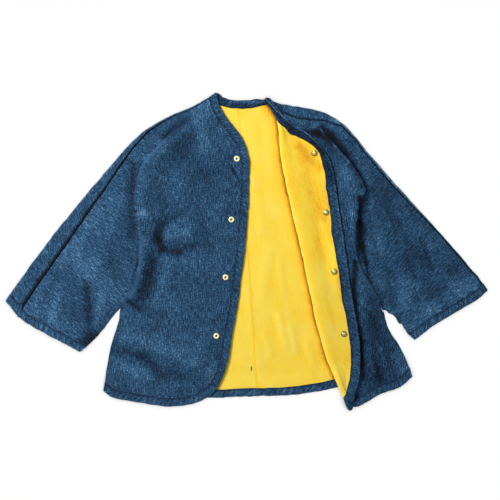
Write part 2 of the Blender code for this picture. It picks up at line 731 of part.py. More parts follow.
class Front:
    """One front: body and sleeve in one piece, folded over the sleeve at the armhole."""

    def __init__(self, half, inner_line):
        self.half = half
        self.surface = Surface(mirrored=half.side < 0)
        side = half.side
        upper_rows = even(UPPER_ROWS)
        lower_rows = graded(LOWER_ROWS, LOWER_LENGTH)
        sleeve_columns = graded(SLEEVE_COLUMNS, SLEEVE_LENGTH)
        arm = sample(np.column_stack(list(half.armhole.values())), upper_rows)
        way = directions(arm)
        out = side * np.column_stack([way[:, 1], -way[:, 0]])
        sections = np.array([tuck_section(tuck, drop) for tuck, drop in arm[:, 2:]])
        across, below = sections[..., 0], sections[..., 1]
        across[-1] = 0.0
        folded = arm[:, None, :2] + across[..., None] * out[:, None]
        split = half.shoulder_columns
        seam_top = half.fine_top
        neckward = seam_top[split - 1] - seam_top[split]
        station = np.linalg.norm(neckward)
        start = (across[0, -1] - across[0]) / station
        folded[0] = seam_top[split] + neckward * start[:, None]
        body_line, sleeve_line = folded[:, 0], folded[:, -1]
        shares = np.append(split - start[0], np.linspace(split - 1, 0, half.columns))
        self.top = np.column_stack([np.interp(shares, np.arange(split + 1), column)
                                    for column in seam_top[:split + 1].T])
        if side > 0:
            inner_line[0] = seam_top[0]
        inner_upper = inner_line[:UPPER_ROWS + 1]
        inner_lower = inner_line[UPPER_ROWS:]
        self.top[0] = body_line[0]
        self.top[-1] = inner_upper[0]
        between = even(half.columns)[:, None]
        waist = body_line[-1] + (inner_upper[-1] - body_line[-1]) * between
        upper = coons(self.top, waist, body_line, inner_upper)
        seam = sample(half.seam, lower_rows)
        seam[0] = body_line[-1]
        hem = sample(half.hem, even(half.columns))
        hem[-1] = inner_lower[-1]
        lower = coons(waist, hem, seam, inner_lower, down=lower_rows)
        over_arm = seam_top[split:]
        from_seam = nearest_fraction(half.cuff, over_arm[-1])
        cuff = sample(half.cuff, from_seam + (1 - from_seam) * upper_rows)
        cuff[0] = over_arm[-1]
        under = sample(half.underarm, sleeve_columns)
        under[0] = sleeve_line[-1]
        sleeve = coons(over_arm[::-1], under[::-1], cuff, sleeve_line,
                       1 - sleeve_columns[::-1], upper_rows)
        sleeve = relaxed(sleeve, 3)
        upper_height = half.body_height(upper)
        sleeve_height = half.sleeve_height(sleeve)
        rise = sleeve_height[:, -1] - below[:, -1] - upper_height[:, 0]
        upper_height += rise[:, None] * (1 - smooth(distance(upper, body_line) / RISE_REACH))
        folded_height = sleeve_height[:, -1:] - below[:, -1:] + below
        lower_height = half.body_height(lower)
        lower_height[0] = upper_height[-1]
        self.sleeve = self.surface.add(lift(sleeve, sleeve_height))
        self.folded = self.surface.add(lift(folded, folded_height)[:, ::-1])
        self.upper = self.surface.add(lift(upper, upper_height))
        self.lower = self.surface.add(lift(lower, lower_height))
        self.surface.upright = list(self.folded[0]) + list(self.upper[0])
        self.surface.fill(self.sleeve)
        self.surface.fill(self.folded)
        self.body = np.vstack([self.upper, self.lower[1:]])
        self.lining_faces = self.surface.fill(self.body[:, -LINING_COLUMNS - 1:])
        self.body_faces = self.lining_faces + self.surface.fill(self.body[:, :-LINING_COLUMNS])
        self.hem_paths = [list(self.body[::-1, column]) for column in range(half.columns + 1)]
        self.cuff_paths = [list(row) for row in self.sleeve]
        self.edge_paths = [list(row[::-1]) for row in self.body]


def roll_rows():
    """Fractions down the roll for each row, with the armpit row in its place."""
    split = nearest_fraction(plan(ROLL), (119, -75))
    lower = split + (1 - split) * graded(LOWER_ROWS, LOWER_LENGTH)
    return np.append(np.linspace(0, split, UPPER_ROWS + 1), lower[1:])


def front_rows():
    """The right front's free edge at each row."""
    split = nearest_fraction(plan(FRONT_EDGE_R), (-15, -91))
    lower = split + (1 - split) * graded(LOWER_ROWS, LOWER_LENGTH)
    return sample(plan(FRONT_EDGE_R), np.append(np.linspace(0, split, UPPER_ROWS + 1), lower[1:]))


class Flap:
    """The left front's roll and the flap that it folds open."""

    def __init__(self):
        rows = self.rows = roll_rows()
        self.line = sample(plan(ROLL), rows)
        self.free = sample(plan(FREE_EDGE), rows)
        way = directions(sample(plan(ROLL), even(200)))
        way = np.column_stack([np.interp(rows, even(200), column) for column in way.T])
        self.towards = np.column_stack([-way[:, 1], way[:, 0]])
        width = np.linalg.norm(self.free - self.line, axis=1)
        self.radius = np.clip(ROLL_SHARE * width, ROLL_RADIUS_END, ROLL_RADIUS)
        self.tangent = self.line + self.towards * self.radius[:, None]

    def add_to(self, front):
        """Continue a front's surface round the roll and back to the free edge."""
        surface = front.surface
        points = np.array(surface.points)
        base = points[front.body[:, -1]][:, 2]
        tree = BVHTree.FromPolygons([tuple(point) for point in points], front.body_faces)
        angles = math.pi * even(ROLL_COLUMNS)
        inset = self.radius[:, None] * np.sin(angles)[None]
        roll = self.tangent[:, None] - self.towards[:, None] * inset[..., None]
        roll_height = base[:, None] + self.radius[:, None] * (1 - np.cos(angles))[None]
        reach = np.linalg.norm(self.free - self.tangent, axis=1)
        bound = np.minimum(np.interp(self.rows, *FLAP_BINDING.values()) + FLAP_BINDING_CLEAR,
                           FLAP_BOUND_SHARE * reach)
        shares = np.column_stack([even(FLAP_COLUMNS - 1)[None] * (1 - bound / reach)[:, None],
                                  np.ones(len(reach))])
        laid = self.tangent[:, None] + (self.free - self.tangent)[:, None] * shares[..., None]
        below = np.empty(laid.shape[:2])
        for place in np.ndindex(below.shape):
            hit = tree.ray_cast(Vector((*laid[place], 100.0)), Vector((0, 0, -1)))[0]
            below[place] = hit.z if hit else front.half.body_height(laid[place][None])[0]
        hem_zone = bound_zone(laid, [front.half.fine_hem])
        rest = below + FLAP_REST + BOUND_RAISE * hem_zone
        start = base + 2 * self.radius
        level = shares / shares[:, -2:-1]
        ease = smooth(level)
        laid_height = start[:, None] * (1 - ease) + rest * ease
        laid_height += relief(laid, FOLDS_FLAP) * np.sin(math.pi * np.minimum(level, 1.0))
        laid_height = np.maximum(laid_height, start[:, None] - FLAP_SLOPE * reach[:, None])
        laid_height = np.maximum(laid_height, below + FLAP_REST)
        laid_height[:, 0] = start
        laid_height[:, -2:] = laid_height[:, -2:].max(axis=1)[:, None]
        roll_numbers = surface.add(lift(roll, roll_height))
        flap_numbers = surface.add(lift(laid, laid_height))
        front.lining_faces = front.lining_faces + surface.fill(roll_numbers)
        flap_faces = surface.fill(flap_numbers)
        front.lining_faces = front.lining_faces + flap_faces
        front.edge_paths = [list(row[::-1]) for row in flap_numbers]
        return flap_faces

    def binding_widths(self, surface, flap_faces, paths):
        """Width of the flap's binding at each row, no wider than the flap itself."""
        tree = BVHTree.FromPolygons([tuple(point) for point in surface.points], flap_faces)
        widths = []
        for path, width in zip(paths, np.interp(self.rows, *FLAP_BINDING.values())):
            start, run = path.points[0, :2], (path.points[1] - path.points[0])[:2]
            inward = run / np.linalg.norm(run)
            while width > FLAP_BINDING_LEAST:
                place = start + inward * (width + BINDING_ROUND)
                if tree.ray_cast(Vector((*place, 100.0)), Vector((0, 0, -1)))[0]:
                    break
                width -= WIDTH_STEP
            widths.append(width)
        return widths


def material(name, row, metallic, roughness):
    """A plain material for one kind of piece."""
    result = bpy.data.materials.new(name)
    result.use_nodes = True
    shader = result.node_tree.nodes["Principled BSDF"]
    colour = (COLOURS["r"][row], COLOURS["g"][row], COLOURS["b"][row], 1.0)
    shader.inputs["Base Color"].default_value = colour
    shader.inputs["Metallic"].default_value = metallic
    shader.inputs["Roughness"].default_value = roughness
    return result


def turned(name, profile, closed, finish, collection):
    """A round part turned from its profile about its own axis."""
    count = len(profile["radius"])
    mesh = bpy.data.meshes.new(name)
    points = [(radius * MM, 0.0, height * MM) for radius, height in zip(*profile.values())]
    edges = [(k, k + 1) for k in range(count - 1)]
    if closed:
        edges.append((count - 1, 0))
    mesh.from_pydata(points, edges, [])
    mesh.materials.append(finish)
    result = bpy.data.objects.new(name, mesh)
    collection.objects.link(result)
    screw = result.modifiers.new("Turn", "SCREW")
    screw.steps = TURN_STEPS
    screw.render_steps = TURN_STEPS
    screw.use_merge_vertices = True
    screw.merge_threshold = 0.00001
    screw.use_normal_calculate = True
    screw.use_normal_flip = closed
    return result


def seat(fitting, tree, x, y, radius):
    """Set a turned part on the cloth, square to it and just clear of it."""
    hits = []
    for angle in np.linspace(0, 2 * math.pi, 16, endpoint=False):
        for share in (0.4, 1.0):
            start = Vector((x + share * radius * math.cos(angle),
                            y + share * radius * math.sin(angle), 100.0))
            hit = tree.ray_cast(start, Vector((0, 0, -1)))[0]
            if hit:
                hits.append(hit)
    points = np.array([tuple(hit) for hit in hits])
    slope = np.linalg.lstsq(np.column_stack([points[:, :2] - (x, y), np.ones(len(points))]),
                            points[:, 2], rcond=None)[0]
    normal = Vector((-slope[0], -slope[1], 1.0)).normalized()
    fitted = slope[2] + (points[:, :2] - (x, y)) @ slope[:2]
    height = slope[2] + (points[:, 2] - fitted).max() + SEAT
    fitting.rotation_mode = "QUATERNION"
    fitting.rotation_quaternion = Vector((0, 0, 1)).rotation_difference(normal)
    fitting.location = Vector((x, y, height)) * MM


def main():
    """Build every piece of the jacket."""
    for item in list(bpy.data.objects):
        bpy.data.objects.remove(item)
    collection = bpy.data.collections.new("Reversible jacket")
    bpy.context.scene.collection.children.link(collection)
    denim = material("Denim", 0, 0.0, 0.85)
    fleece = material("Brushed cotton", 1, 0.0, 0.95)
    brass = material("Brass", 2, 1.0, 0.35)

    right = Half(1, TOP_EDGE_R, CUFF_R, UNDERARM_R, SIDE_R, HEM_R, HEM_BACK_R, NECK_R, ARMHOLE_R,
                 FOLDS_R, RIGHT_LEVEL, RIGHT_BOUND_RAISE, LINING_EDGE_R, RIGHT_BODY_COLUMNS,
                 RIGHT_SHOULDER_COLUMNS)
    left = Half(-1, TOP_EDGE_L, CUFF_L, UNDERARM_L, SIDE_L, HEM_L, HEM_BACK_L, NECK_L, ARMHOLE_L,
                FOLDS_L, LEFT_LEVEL, LEFT_BOUND_RAISE, LINING_EDGE_L, LEFT_BODY_COLUMNS,
                LEFT_SHOULDER_COLUMNS)

    flap = Flap()
    back_r, back_l = Back(right), Back(left)
    front_r = Front(right, front_rows())
    front_l = Front(left, flap.tangent)
    flap_faces = flap.add_to(front_l)

    corner = [list(np.diagonal(front_r.body[::-1, ::-1]))]
    edge_r = squared(front_r.surface, front_r.body_faces,
                     front_r.edge_paths[:-1] + corner + front_r.hem_paths[-2::-1])
    edge_l = traced(front_l.surface, front_l.edge_paths)
    flap_widths = flap.binding_widths(front_l.surface, flap_faces, edge_l)
    hem_l = squared(front_l.surface, front_l.body_faces, front_l.hem_paths, [left.columns])
    hems, necks, cuffs = {}, {}, {}
    for name, back, front in (("r", back_r, front_r), ("l", back_l, front_l)):
        turn = 1 if name == "l" else -1
        hems[name] = squared(back.surface, back.flat_faces, back.hem_paths[::turn])
        necks[name] = squared(back.surface, back.flat_faces, back.neck_paths[::-turn],
                              [BACK_NECK_COLUMNS if name == "l" else 0])
        cuffs[name] = traced(back.surface, back.cuff_paths, -1)
        cuffs[name] += traced(front.surface, front.cuff_paths)

    for name, back in (("r", back_r), ("l", back_l)):
        bound = hems[name] + necks[name]
        arm = cuffs[name][:len(back.cuff_paths)]
        shape, solid = back.surface.wall(BACK_SHELL_SPAN, paths=bound + arm)
        make_object("back_shell_" + name, shape, solid, denim, collection)
        shape, solid = back.surface.wall(BACK_LINING_SPAN, back.lining_faces, bound)
        make_object("back_lining_" + name, shape, solid, fleece, collection)
    arm = cuffs["r"][len(back_r.cuff_paths):]
    shape, solid = front_r.surface.wall(FRONT_SHELL_SPAN, paths=edge_r + arm)
    make_object("front_shell_r", shape, solid, denim, collection)
    arm = cuffs["l"][len(back_l.cuff_paths):]
    shape, solid = front_l.surface.wall(FRONT_SHELL_SPAN, paths=edge_l + hem_l + arm)
    make_object("front_shell_l", shape, solid, denim, collection)
    shape, solid = front_l.surface.wall(FRONT_LINING_SPAN, front_l.lining_faces,
                                        edge_l + hem_l[-LINING_COLUMNS - 1:])
    make_object("front_lining_l", shape, solid, fleece, collection)

    single = (FRONT_SHELL_SPAN[0] - GAP, FRONT_SHELL_SPAN[1] + GAP)
    double = (FRONT_LINING_SPAN[0] - GAP, FRONT_SHELL_SPAN[1] + GAP)
    double_back = (BACK_SHELL_SPAN[0] - GAP, BACK_LINING_SPAN[1] + GAP)
    bindings = {
        "binding_front_r": (edge_r, single, None),
        "binding_front_l": (edge_l, double, flap_widths),
        "binding_hem_l": (hem_l, double, None),
        "binding_hem_back": (hems["l"][:-1] + hems["r"], double_back, None),
        "binding_neck_back": (necks["r"][:-1] + necks["l"], double_back, None),
        "binding_cuff_r": (cuffs["r"], single, None),
        "binding_cuff_l": (cuffs["l"], single, None),
    }
    for name, (paths, inner, widths) in bindings.items():
        shape, solid = bind(paths, inner, widths)
        make_object(name, shape, solid, denim, collection)

    for kind, places, profile, closed, front, span in (
            ("ring_snap", RING_SNAPS, RING_PROFILE, True, front_r, FRONT_SHELL_SPAN),
            ("cap_snap", CAP_SNAPS, CAP_PROFILE, False, front_l, FRONT_LINING_SPAN)):
        shape, solid = front.surface.wall(span)
        tree = BVHTree.FromPolygons([tuple(point) for point in shape], solid)
        for k, (x, y) in enumerate(zip(*places.values())):
            fitting = turned(f"{kind}_{k + 1}", profile, closed, brass, collection)
            seat(fitting, tree, x, y, float(profile["radius"].max()))


if __name__ == "__main__":
    main()
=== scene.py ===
"""Looks of a reversible jacket that lies flat on its back with one front folded open.

The cloth pieces are worked out from the same named lines as the solids, in millimetres, on finer
grids. X runs from cuff to cuff, Y from hem to neck and Z is up. Right and left are the wearer's.
"""

from __future__ import annotations

import copy
import logging
import math
from collections import defaultdict
from dataclasses import dataclass
from enum import Enum
from typing import Iterable, Sequence

import bpy
import numpy as np
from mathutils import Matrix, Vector, noise
from mathutils.bvhtree import BVHTree

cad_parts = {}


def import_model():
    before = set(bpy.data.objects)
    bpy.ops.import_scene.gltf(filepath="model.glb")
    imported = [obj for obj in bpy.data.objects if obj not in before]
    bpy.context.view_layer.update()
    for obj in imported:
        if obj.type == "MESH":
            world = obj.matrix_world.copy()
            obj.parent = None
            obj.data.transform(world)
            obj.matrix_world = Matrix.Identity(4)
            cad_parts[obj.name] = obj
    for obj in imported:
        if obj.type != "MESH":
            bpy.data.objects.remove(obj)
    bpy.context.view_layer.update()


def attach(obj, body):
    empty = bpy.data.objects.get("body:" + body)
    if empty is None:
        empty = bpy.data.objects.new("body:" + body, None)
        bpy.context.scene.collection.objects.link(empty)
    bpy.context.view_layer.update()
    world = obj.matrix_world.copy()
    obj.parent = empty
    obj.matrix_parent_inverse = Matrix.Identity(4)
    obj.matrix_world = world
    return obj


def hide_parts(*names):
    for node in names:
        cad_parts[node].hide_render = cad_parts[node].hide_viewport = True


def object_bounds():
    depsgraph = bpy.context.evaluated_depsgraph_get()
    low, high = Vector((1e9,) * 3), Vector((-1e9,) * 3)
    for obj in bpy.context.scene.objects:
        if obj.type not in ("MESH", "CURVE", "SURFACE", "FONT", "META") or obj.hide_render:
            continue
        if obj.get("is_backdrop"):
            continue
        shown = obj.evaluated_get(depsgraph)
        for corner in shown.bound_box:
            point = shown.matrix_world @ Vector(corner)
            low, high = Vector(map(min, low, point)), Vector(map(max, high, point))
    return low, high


LOG = logging.getLogger("jacket")
Table = dict[str, np.ndarray]
Pair = tuple[float, float]

MM = 0.001
SHARP_ANGLE = math.radians(55)
DOWN = Vector((0, 0, -1))
ABOVE = 100.0

# Thicknesses of the cloth, and the gaps between its layers.
SHELL = 0.9
LINING = 0.8
TAPE = 0.6
SOLID_SHELL = 1.2
GAP = 0.3
HALF_GAP = GAP / 2
CENTRE_GAP = 0.005

# Where each layer lies from its quilt's surface, and where the bindings' insides do.
FRONT_SHELL_SPAN = (HALF_GAP, HALF_GAP + SHELL)
FRONT_LINING_SPAN = (-HALF_GAP - LINING, -HALF_GAP)
BACK_SHELL_SPAN = (-HALF_GAP - SHELL, -HALF_GAP)
BACK_LINING_SPAN = (HALF_GAP, HALF_GAP + LINING)
SHELL_BOUND_SPAN = (HALF_GAP - GAP, HALF_GAP + SHELL + GAP)
FRONT_BOUND_SPAN = (-HALF_GAP - LINING - GAP, HALF_GAP + SHELL + GAP)
BACK_BOUND_SPAN = (-HALF_GAP - SHELL - GAP, HALF_GAP + LINING + GAP)

# The bindings, and where the cloth ends inside them.
BINDING_WIDTH = 16.0
BINDING_ROUND = 2.0
BINDING_STEPS = (0.15, 0.5, 1.0, 1.7)
PANEL_SETBACK = 1.6
SETBACK_REACH = 12.0
CORNER_CLEAR = 3.5
TOPSTITCH = 4.5
TOPSTITCH_RAISE = 0.1
NECK_CLEAR = -2.5
LINING_TOP = 247.0
LINING_FOOT = -280.0
HEM_CLEAR = 1.2
FLAP_BINDING_LEAST = 2.6
FLAP_BINDING_CLEAR = 2.5
FLAP_BOUND_SHARE = 0.75
FLAP_BINDING_MOST = 24.0
WIDTH_STEP = 0.25
LEAN_LEAST = 0.62
TAPE_STEP_LEAST = 0.2
TAPE_CLEAR = 0.02
BOLT_STEP = 137.0

# Heights of each panel's reference surface, which lies between shell and lining.
BACK_LEVEL = 1.35
WRAP_RADIUS = 1.6
SLEEVE_LEVEL = BACK_LEVEL + 2 * WRAP_RADIUS
SEAM_LEVEL = 1.8
BOUND_RAISE = 1.2
NECK_RAISE = 2.0
CUFF_SEAM_RAISE = 3.3
BOUND_PLATEAU = 22.0
BOUND_REACH = 42.0
BOUND_SLACK = 4.0
FLAP_REST = 4.4
FLAP_SLOPE = 0.08
FLAP_SWELL = 0.25
ROLL_RADIUS = 4.5
ROLL_RADIUS_END = 2.7
ROLL_SHARE = 0.16

# Counts of the main rows and columns that carry each piece's form.
UPPER_ROWS = 17
LOWER_ROWS = 8
TUCK_TURN_COLUMNS = 4
SLEEVE_COLUMNS = 12
BODY_COLUMN = SLEEVE_COLUMNS + 2 * TUCK_TURN_COLUMNS + 1
ROLL_COLUMNS = 7
FLAP_COLUMNS = 4
BACK_UPPER_ROWS = 10
BACK_LOWER_ROWS = 6
BACK_NECK_COLUMNS = 3
WRAP_ARC_COLUMNS = 4
WRAP_FLAT_COLUMNS = 2
WRAPS = WRAP_ARC_COLUMNS + WRAP_FLAT_COLUMNS
LINING_COLUMNS = 3
UPPER_LENGTH = 390.0
LOWER_LENGTH = 180.0
SLEEVE_LENGTH = 300.0

# How the cloth settles into a seam or folds over itself.
SETTLE = 25.0
TUCK_SPREAD = 9.0
TUCK_RADIUS = 2.05
TUCK_EASE = 0.8
RISE_REACH = 60.0
RELAX_ROUNDS = 60
CUFF_BLEND = 0.75

# How far sewing and handling have pulled the cloth out of true, and where it is drawn up most.
DRAW = 1.0
DRAW_UNDERARM = 5.5
DRAW_REACH = 9.0
DRAW_WAVES = ((0.7, 0, 34.0), (0.9, 5, 12.0))

# Small rumples over the whole cloth: height, step of the seed and size.
CLOTH_WAVES = ((0.7, 0, 52.0), (0.26, 1, 21.0), (0.08, 2, 9.0))
CALM = 0.35
FLAP_CREASES = 0.4
CREASE_LEAST = -1.3
CREASE_SETTLE = 9.0
FLAP_EDGE_EASE = 1.2
BINDING_EASE = 8.0
FLOOR_CLEAR = 0.07
FLOOR_ROOM = 0.05

# The shoulder and sleeve seam's groove, the puckers beside it and the seam under the arm, with
# the painted shade in the groove and along the underarm seam and painted light and shade on the
# puckers.
SEAM_DEPTH = 1.1
SEAM_EASE = 60.0
GROOVE_ROWS = 2.5
SEAM_PAINTED_SHADE = 1.6
PUCKER_PITCH = 17.0
PUCKER_REACH = 9.0
PUCKER_START = 3.0
PUCKER_SIZE = 30.0
PUCKER_SPREAD = 0.2
PUCKER_DRIFT = 3.0
PUCKER_HEIGHT = 0.35
PUCKER_PAINTED_SHADING = 0.15
UNDERARM_WIDTH = 2.5
UNDERARM_PAINTED_SHADE = 0.4

# Painted light and shade: lighter on ridges and darker in hollows, with painted shade under the
# roll and in the centre seam. The flap is a little darker all over, the back's lining a little
# paler, and the strip turned over the left sleeve's top lighter.
CREASE_PAINTED_SHADING = 0.08
WAVE_PAINTED_SHADING = 0.1
PAINTED_SHADING_LIMIT = 0.3
FLAP_TONE = -0.1
TURNED_TONE = 0.6
LINING_SHADE = 0.07
ROLL_SHADES = ((0.75, 4.5), (0.4, 12.0))
CENTRE_SHADE = (0.3, 1.6)

# Spacing of the fine grids, and how finely lines are measured.
FRONT_SPACING = 2.8
BACK_SPACING = 3.2
ROUGH_SPACING = 12.0
TAPE_SPACING = 1.7
TOPSTITCH_SPACING = 4.0
LEAST_STEPS = 2
SEAM_GRADING = 1.7
LINE_STEPS = 60
ROLL_STEPS = 80
WAY_STEPS = 200
TOP_STEPS = 400
PLACE_STEPS = 800


def table(columns: str, *rows: Sequence[float]) -> Table:
    """Rows of numbers as one array for each named column."""
    return dict(zip(columns.split(), np.array(rows, dtype=float).T))


# The sleeve's top edge from neck to cuff. wrap is how far the back panel turns over it.
TOP_EDGE_R = table(
    "x y wrap",
    (-58, 299, 2), (-79, 285, 3), (-107, 271, 4), (-138, 258, 4), (-170, 243, 4), (-202, 220, 7),
    (-235, 187, 12), (-276, 139, 19), (-324, 82, 26), (-373, 21, 31), (-419, -41, 33),
    (-456.8, -96, 36),
)
TOP_EDGE_L = table(
    "x y wrap",
    (37, 289, 3), (60, 279, 12), (90, 274, 21), (121, 268, 21), (151, 260, 15), (174, 247, 6),
    (197, 227, 4), (227, 190, 5), (273, 137, 6), (318, 87, 5), (364, 37, 3), (409, -15, 3),
    (440, -51, 3), (457, -76, 3),
)
CUFF_R = table("x y", (-456.8, -96), (-442, -116), (-419, -136), (-389, -154), (-358, -170),
               (-335, -182), (-316, -193))
CUFF_L = table("x y", (457, -76), (436, -94), (409, -110), (379, -128), (349, -146), (332, -160),
               (319, -170))
UNDERARM_R = table("x y", (-237, -106), (-244, -114), (-259, -133), (-276, -155), (-299, -179),
                   (-316, -193))
UNDERARM_L = table("x y", (254, -100), (261, -110), (275, -121), (288, -137), (303, -155),
                   (319, -170))
SIDE_R = table("x y", (-237, -106), (-242, -133), (-248, -155), (-256, -178), (-261, -201),
               (-265, -224), (-268, -247), (-271, -267))
SIDE_L = table("x y", (254, -100), (261, -121), (267, -144), (276, -161), (288, -178),
               (299, -201), (309, -224), (314, -239))
HEM_R = table("x y", (-271, -267), (-256, -278), (-229, -284), (-199, -289), (-168, -294),
              (-138, -296), (-111, -293), (-88, -286), (-69, -275))
HEM_L = table("x y", (314, -239), (303, -250), (284, -262), (259, -270), (233, -284),
              (212, -295), (203, -299), (196, -301))
HEM_BACK_R = table("x y", (-271, -267), (-183, -269), (-117, -276), (-69, -280), (-12, -278),
                   (21, -277))
HEM_BACK_L = table("x y", (314, -239), (244, -247), (180, -257), (140, -267), (102, -274),
                   (45, -275), (21, -277))
NECK_R = table("x y", (-58, 299), (-47, 291), (-29, 286), (-17, 285))
NECK_L = table("x y", (37, 289), (20, 287), (-1, 285), (-17, 285))
LINING_EDGE_R = table("x y", (-58, 299), (-64, 240), (-64, 120), (-72, -100), (-90, -277))
LINING_EDGE_L = table("x y", (37, 289), (62, 262), (78, 228), (92, 150), (124, 10), (158, -120),
                      (196, -254))
CENTRE_TOP = (-17, 285)
CENTRE_HEM = (21, -277)
CENTRE = np.array([CENTRE_TOP, CENTRE_HEM], dtype=float)
FRONT_EDGE_R = table(
    "x y",
    (-58, 299), (-53, 280), (-45, 262), (-29, 240), (-12, 218), (-1, 196), (5, 171), (5, 133),
    (3, 76), (-2, 12), (-9, -41), (-15, -91), (-21, -129), (-28, -167), (-34, -205), (-43, -235),
    (-54, -258), (-69, -275),
)

# Where the body cloth folds over the sleeve, from shoulder to armpit. tuck is the cloth taken up
# and drop is how far the fold stands above the sleeve.
ARMHOLE_R = table(
    "x y tuck drop",
    (-111, 261, 0, 0), (-121, 244, 0, 2.4), (-145, 220, 8, 8.4), (-172, 192, 14, 9),
    (-193, 168, 18, 9.2), (-205, 137, 20, 9.2), (-210, 111, 20, 9.2), (-214, 75, 22, 9.4),
    (-205, 48, 20, 9.2), (-202, 14, 16, 9), (-204, -28, 8, 8.2), (-208, -66, 0, 4.5),
    (-219, -89, 0, 1.5), (-237, -106, 0, 0),
)
ARMHOLE_L = table(
    "x y tuck drop",
    (142, 241, 0, 0), (143, 228, 0, 2.4), (162, 204, 10, 8.4), (181, 182, 14, 9),
    (198, 163, 18, 9.2), (212, 141, 20, 9.2), (224, 113, 22, 9.4), (217, 94, 20, 9.4),
    (207, 46, 20, 9.2), (209, -11, 16, 9), (219, -39, 10, 8.4), (238, -70, 0, 4),
    (254, -100, 0, 0),
)

# The left front's roll, the free edge of its flap and the line where the flap's binding ends.
ROLL = table(
    "x y",
    (34.5, 281.5), (46, 268), (56, 253), (60, 234), (63, 200), (68, 162), (78, 114), (88, 67),
    (102, 10), (113, -41), (124, -95), (136, -150), (152, -203), (169, -245), (181, -271),
    (191.5, -298),
)
FREE_EDGE = table(
    "x y",
    (45, 287), (53, 276), (66, 260), (79, 245), (88, 236), (100, 231), (115, 221), (130, 208),
    (143, 192), (155, 174), (162, 154), (169, 122), (173, 88), (179, 52), (187, -5),
    (193, -45), (200, -89), (208, -136), (214, -176), (215, -203), (214, -230), (210, -254),
    (203, -277), (197, -299.5),
)
FLAP_LINE = table(
    "x y",
    (34.5, 281.5), (46, 268), (56, 253), (61, 243), (73, 232), (88, 221), (109, 209), (124, 198),
    (134, 187), (140, 175), (143, 164), (149, 141), (151, 118), (155, 95), (159, 61), (162, 27),
    (166, 4), (170, -19), (174, -41), (178, -75), (181, -98), (187, -121), (191, -144),
    (194.5, -167), (197, -190), (197, -212), (195.5, -235), (194, -247), (191, -258),
    (188, -269), (184.5, -279), (190, -299),
)

# Widths of two bindings, by the share of their length.
FLAP_BINDING = table("share width", (0, 4), (0.05, 8), (0.1, 10.5), (0.26, 10.5), (0.33, 15),
                     (0.4, 17), (0.5, 18), (0.9, 18), (1, 8))
NECK_BINDING = table("share width", (0, 16), (0.8, 16), (1, 10.5))

# Where the fronts' inner lines are level with the armpits.
ARMPIT_LEVEL_R = (-15, -91)
ARMPIT_LEVEL_L = (119, -75)

# The cloth's broad folds and swells: a line from start to end, its half width and its height.
# The tables of creases and painted shading below have the same columns. In the painted shading
# tables the height is a painted lightness, below 0 for painted shade.
FOLDS_R = table(
    "x0 y0 x1 y1 width height",
    (-118, 68, -153, 52, 16, -2.2), (-166, 38, -184, -27, 17, -3.0),
    (-184, -27, -202, -96, 18, -2.4), (-166, 20, -110, -5, 17, -2.0),
    (-190, 110, -140, -70, 34, 3.2), (-60, 210, -110, 40, 46, 3.0),
    (-182, 205, -120, 130, 20, 1.8), (-182, 202, -172, 178, 11, -1.4),
    (-27, 160, -12, 128, 11, -1.6), (-36, 48, -20, 34, 10, -1.4),
    (-120, -60, -80, -210, 48, 3.0), (-246, -190, -200, -205, 16, -1.6),
    (-200, -205, -142, -247, 16, -1.8), (-60, -205, -86, -226, 13, -1.4),
    (-336, 40, -392, -40, 30, 2.4), (-300, -20, -350, -110, 26, 2.0),
    (-290, 92, -262, 20, 24, 1.8), (-384, -108, -300, -70, 18, -1.2),
)
FOLDS_L = table(
    "x0 y0 x1 y1 width height",
    (112, 220, 158, 204, 13, -1.8), (150, 190, 190, 120, 18, 1.6),
    (196, -10, 203, -64, 11, -2.0), (203, -64, 208, -122, 11, -1.8),
    (216, -170, 224, -236, 9, -2.0), (237, -212, 249, -256, 8, 2.2),
    (226, -230, 235, -262, 8, 1.8), (262, -196, 280, -240, 14, 1.6),
    (228, -80, 250, -190, 20, 1.8), (300, 60, 372, -30, 28, 2.4),
    (270, 60, 318, -70, 24, 2.0), (330, -60, 392, -100, 20, -1.2),
)
FOLDS_FLAP = table(
    "x0 y0 x1 y1 width height",
    (96, 190, 118, 96, 20, 1.6), (124, 60, 150, -70, 24, 1.8), (158, -120, 178, -210, 18, 1.4),
    (140, 150, 150, 90, 12, -1.0), (164, -40, 176, -110, 12, -1.0),
)

# The stretch of the left underarm seam that is drawn up into puckers.
PUCKERED_SEAM = table("x y", (259, -108), (275, -121), (303, -155))

# The tapes' folded ends at the flap's foot, its neck and the collar, and the line on each.
FOOT_END = table(
    "x y z",
    (204.6, -268.5, 15.5), (203.4, -278, 15.3), (201.8, -287, 15.2), (200.7, -295, 14.8),
    (199.7, -300, 13.5), (196.8, -302.2, 12.5), (192.4, -301, 12.6), (188.8, -296.2, 13.8),
    (186.8, -289.5, 15), (185, -283.5, 15.4), (184, -278.2, 15.6), (186.8, -272.5, 16.3),
    (190.3, -266.5, 15.7), (197, -266.8, 15.6), (204.6, -268.5, 15.5),
)
FOOT_FOLD = table("x y", (190.5, -268), (197, -301))
NECK_END = table(
    "x y z",
    (45, 286, 13), (48, 283, 13), (51, 279.5, 13.2), (55, 273, 13.2), (59, 266.5, 13.2),
    (63, 260, 12.6), (67, 254, 11.8), (71, 248.5, 11.5), (75, 244, 11.8), (76.5, 238.5, 12.2),
    (73, 233.8, 12.3), (67.2, 235.8, 12.4), (62.6, 239.6, 12.3), (58.8, 244.4, 11.8),
    (56.6, 249.6, 11.6), (54, 256, 12.2), (50.6, 261.2, 13), (47, 266, 13.6), (43.2, 271, 13.9),
    (39.6, 275.5, 14), (36.2, 280, 14), (34.8, 283, 14), (35.4, 286, 13.6), (38, 288, 13.3),
    (42, 288, 13.2), (45, 286, 13),
)
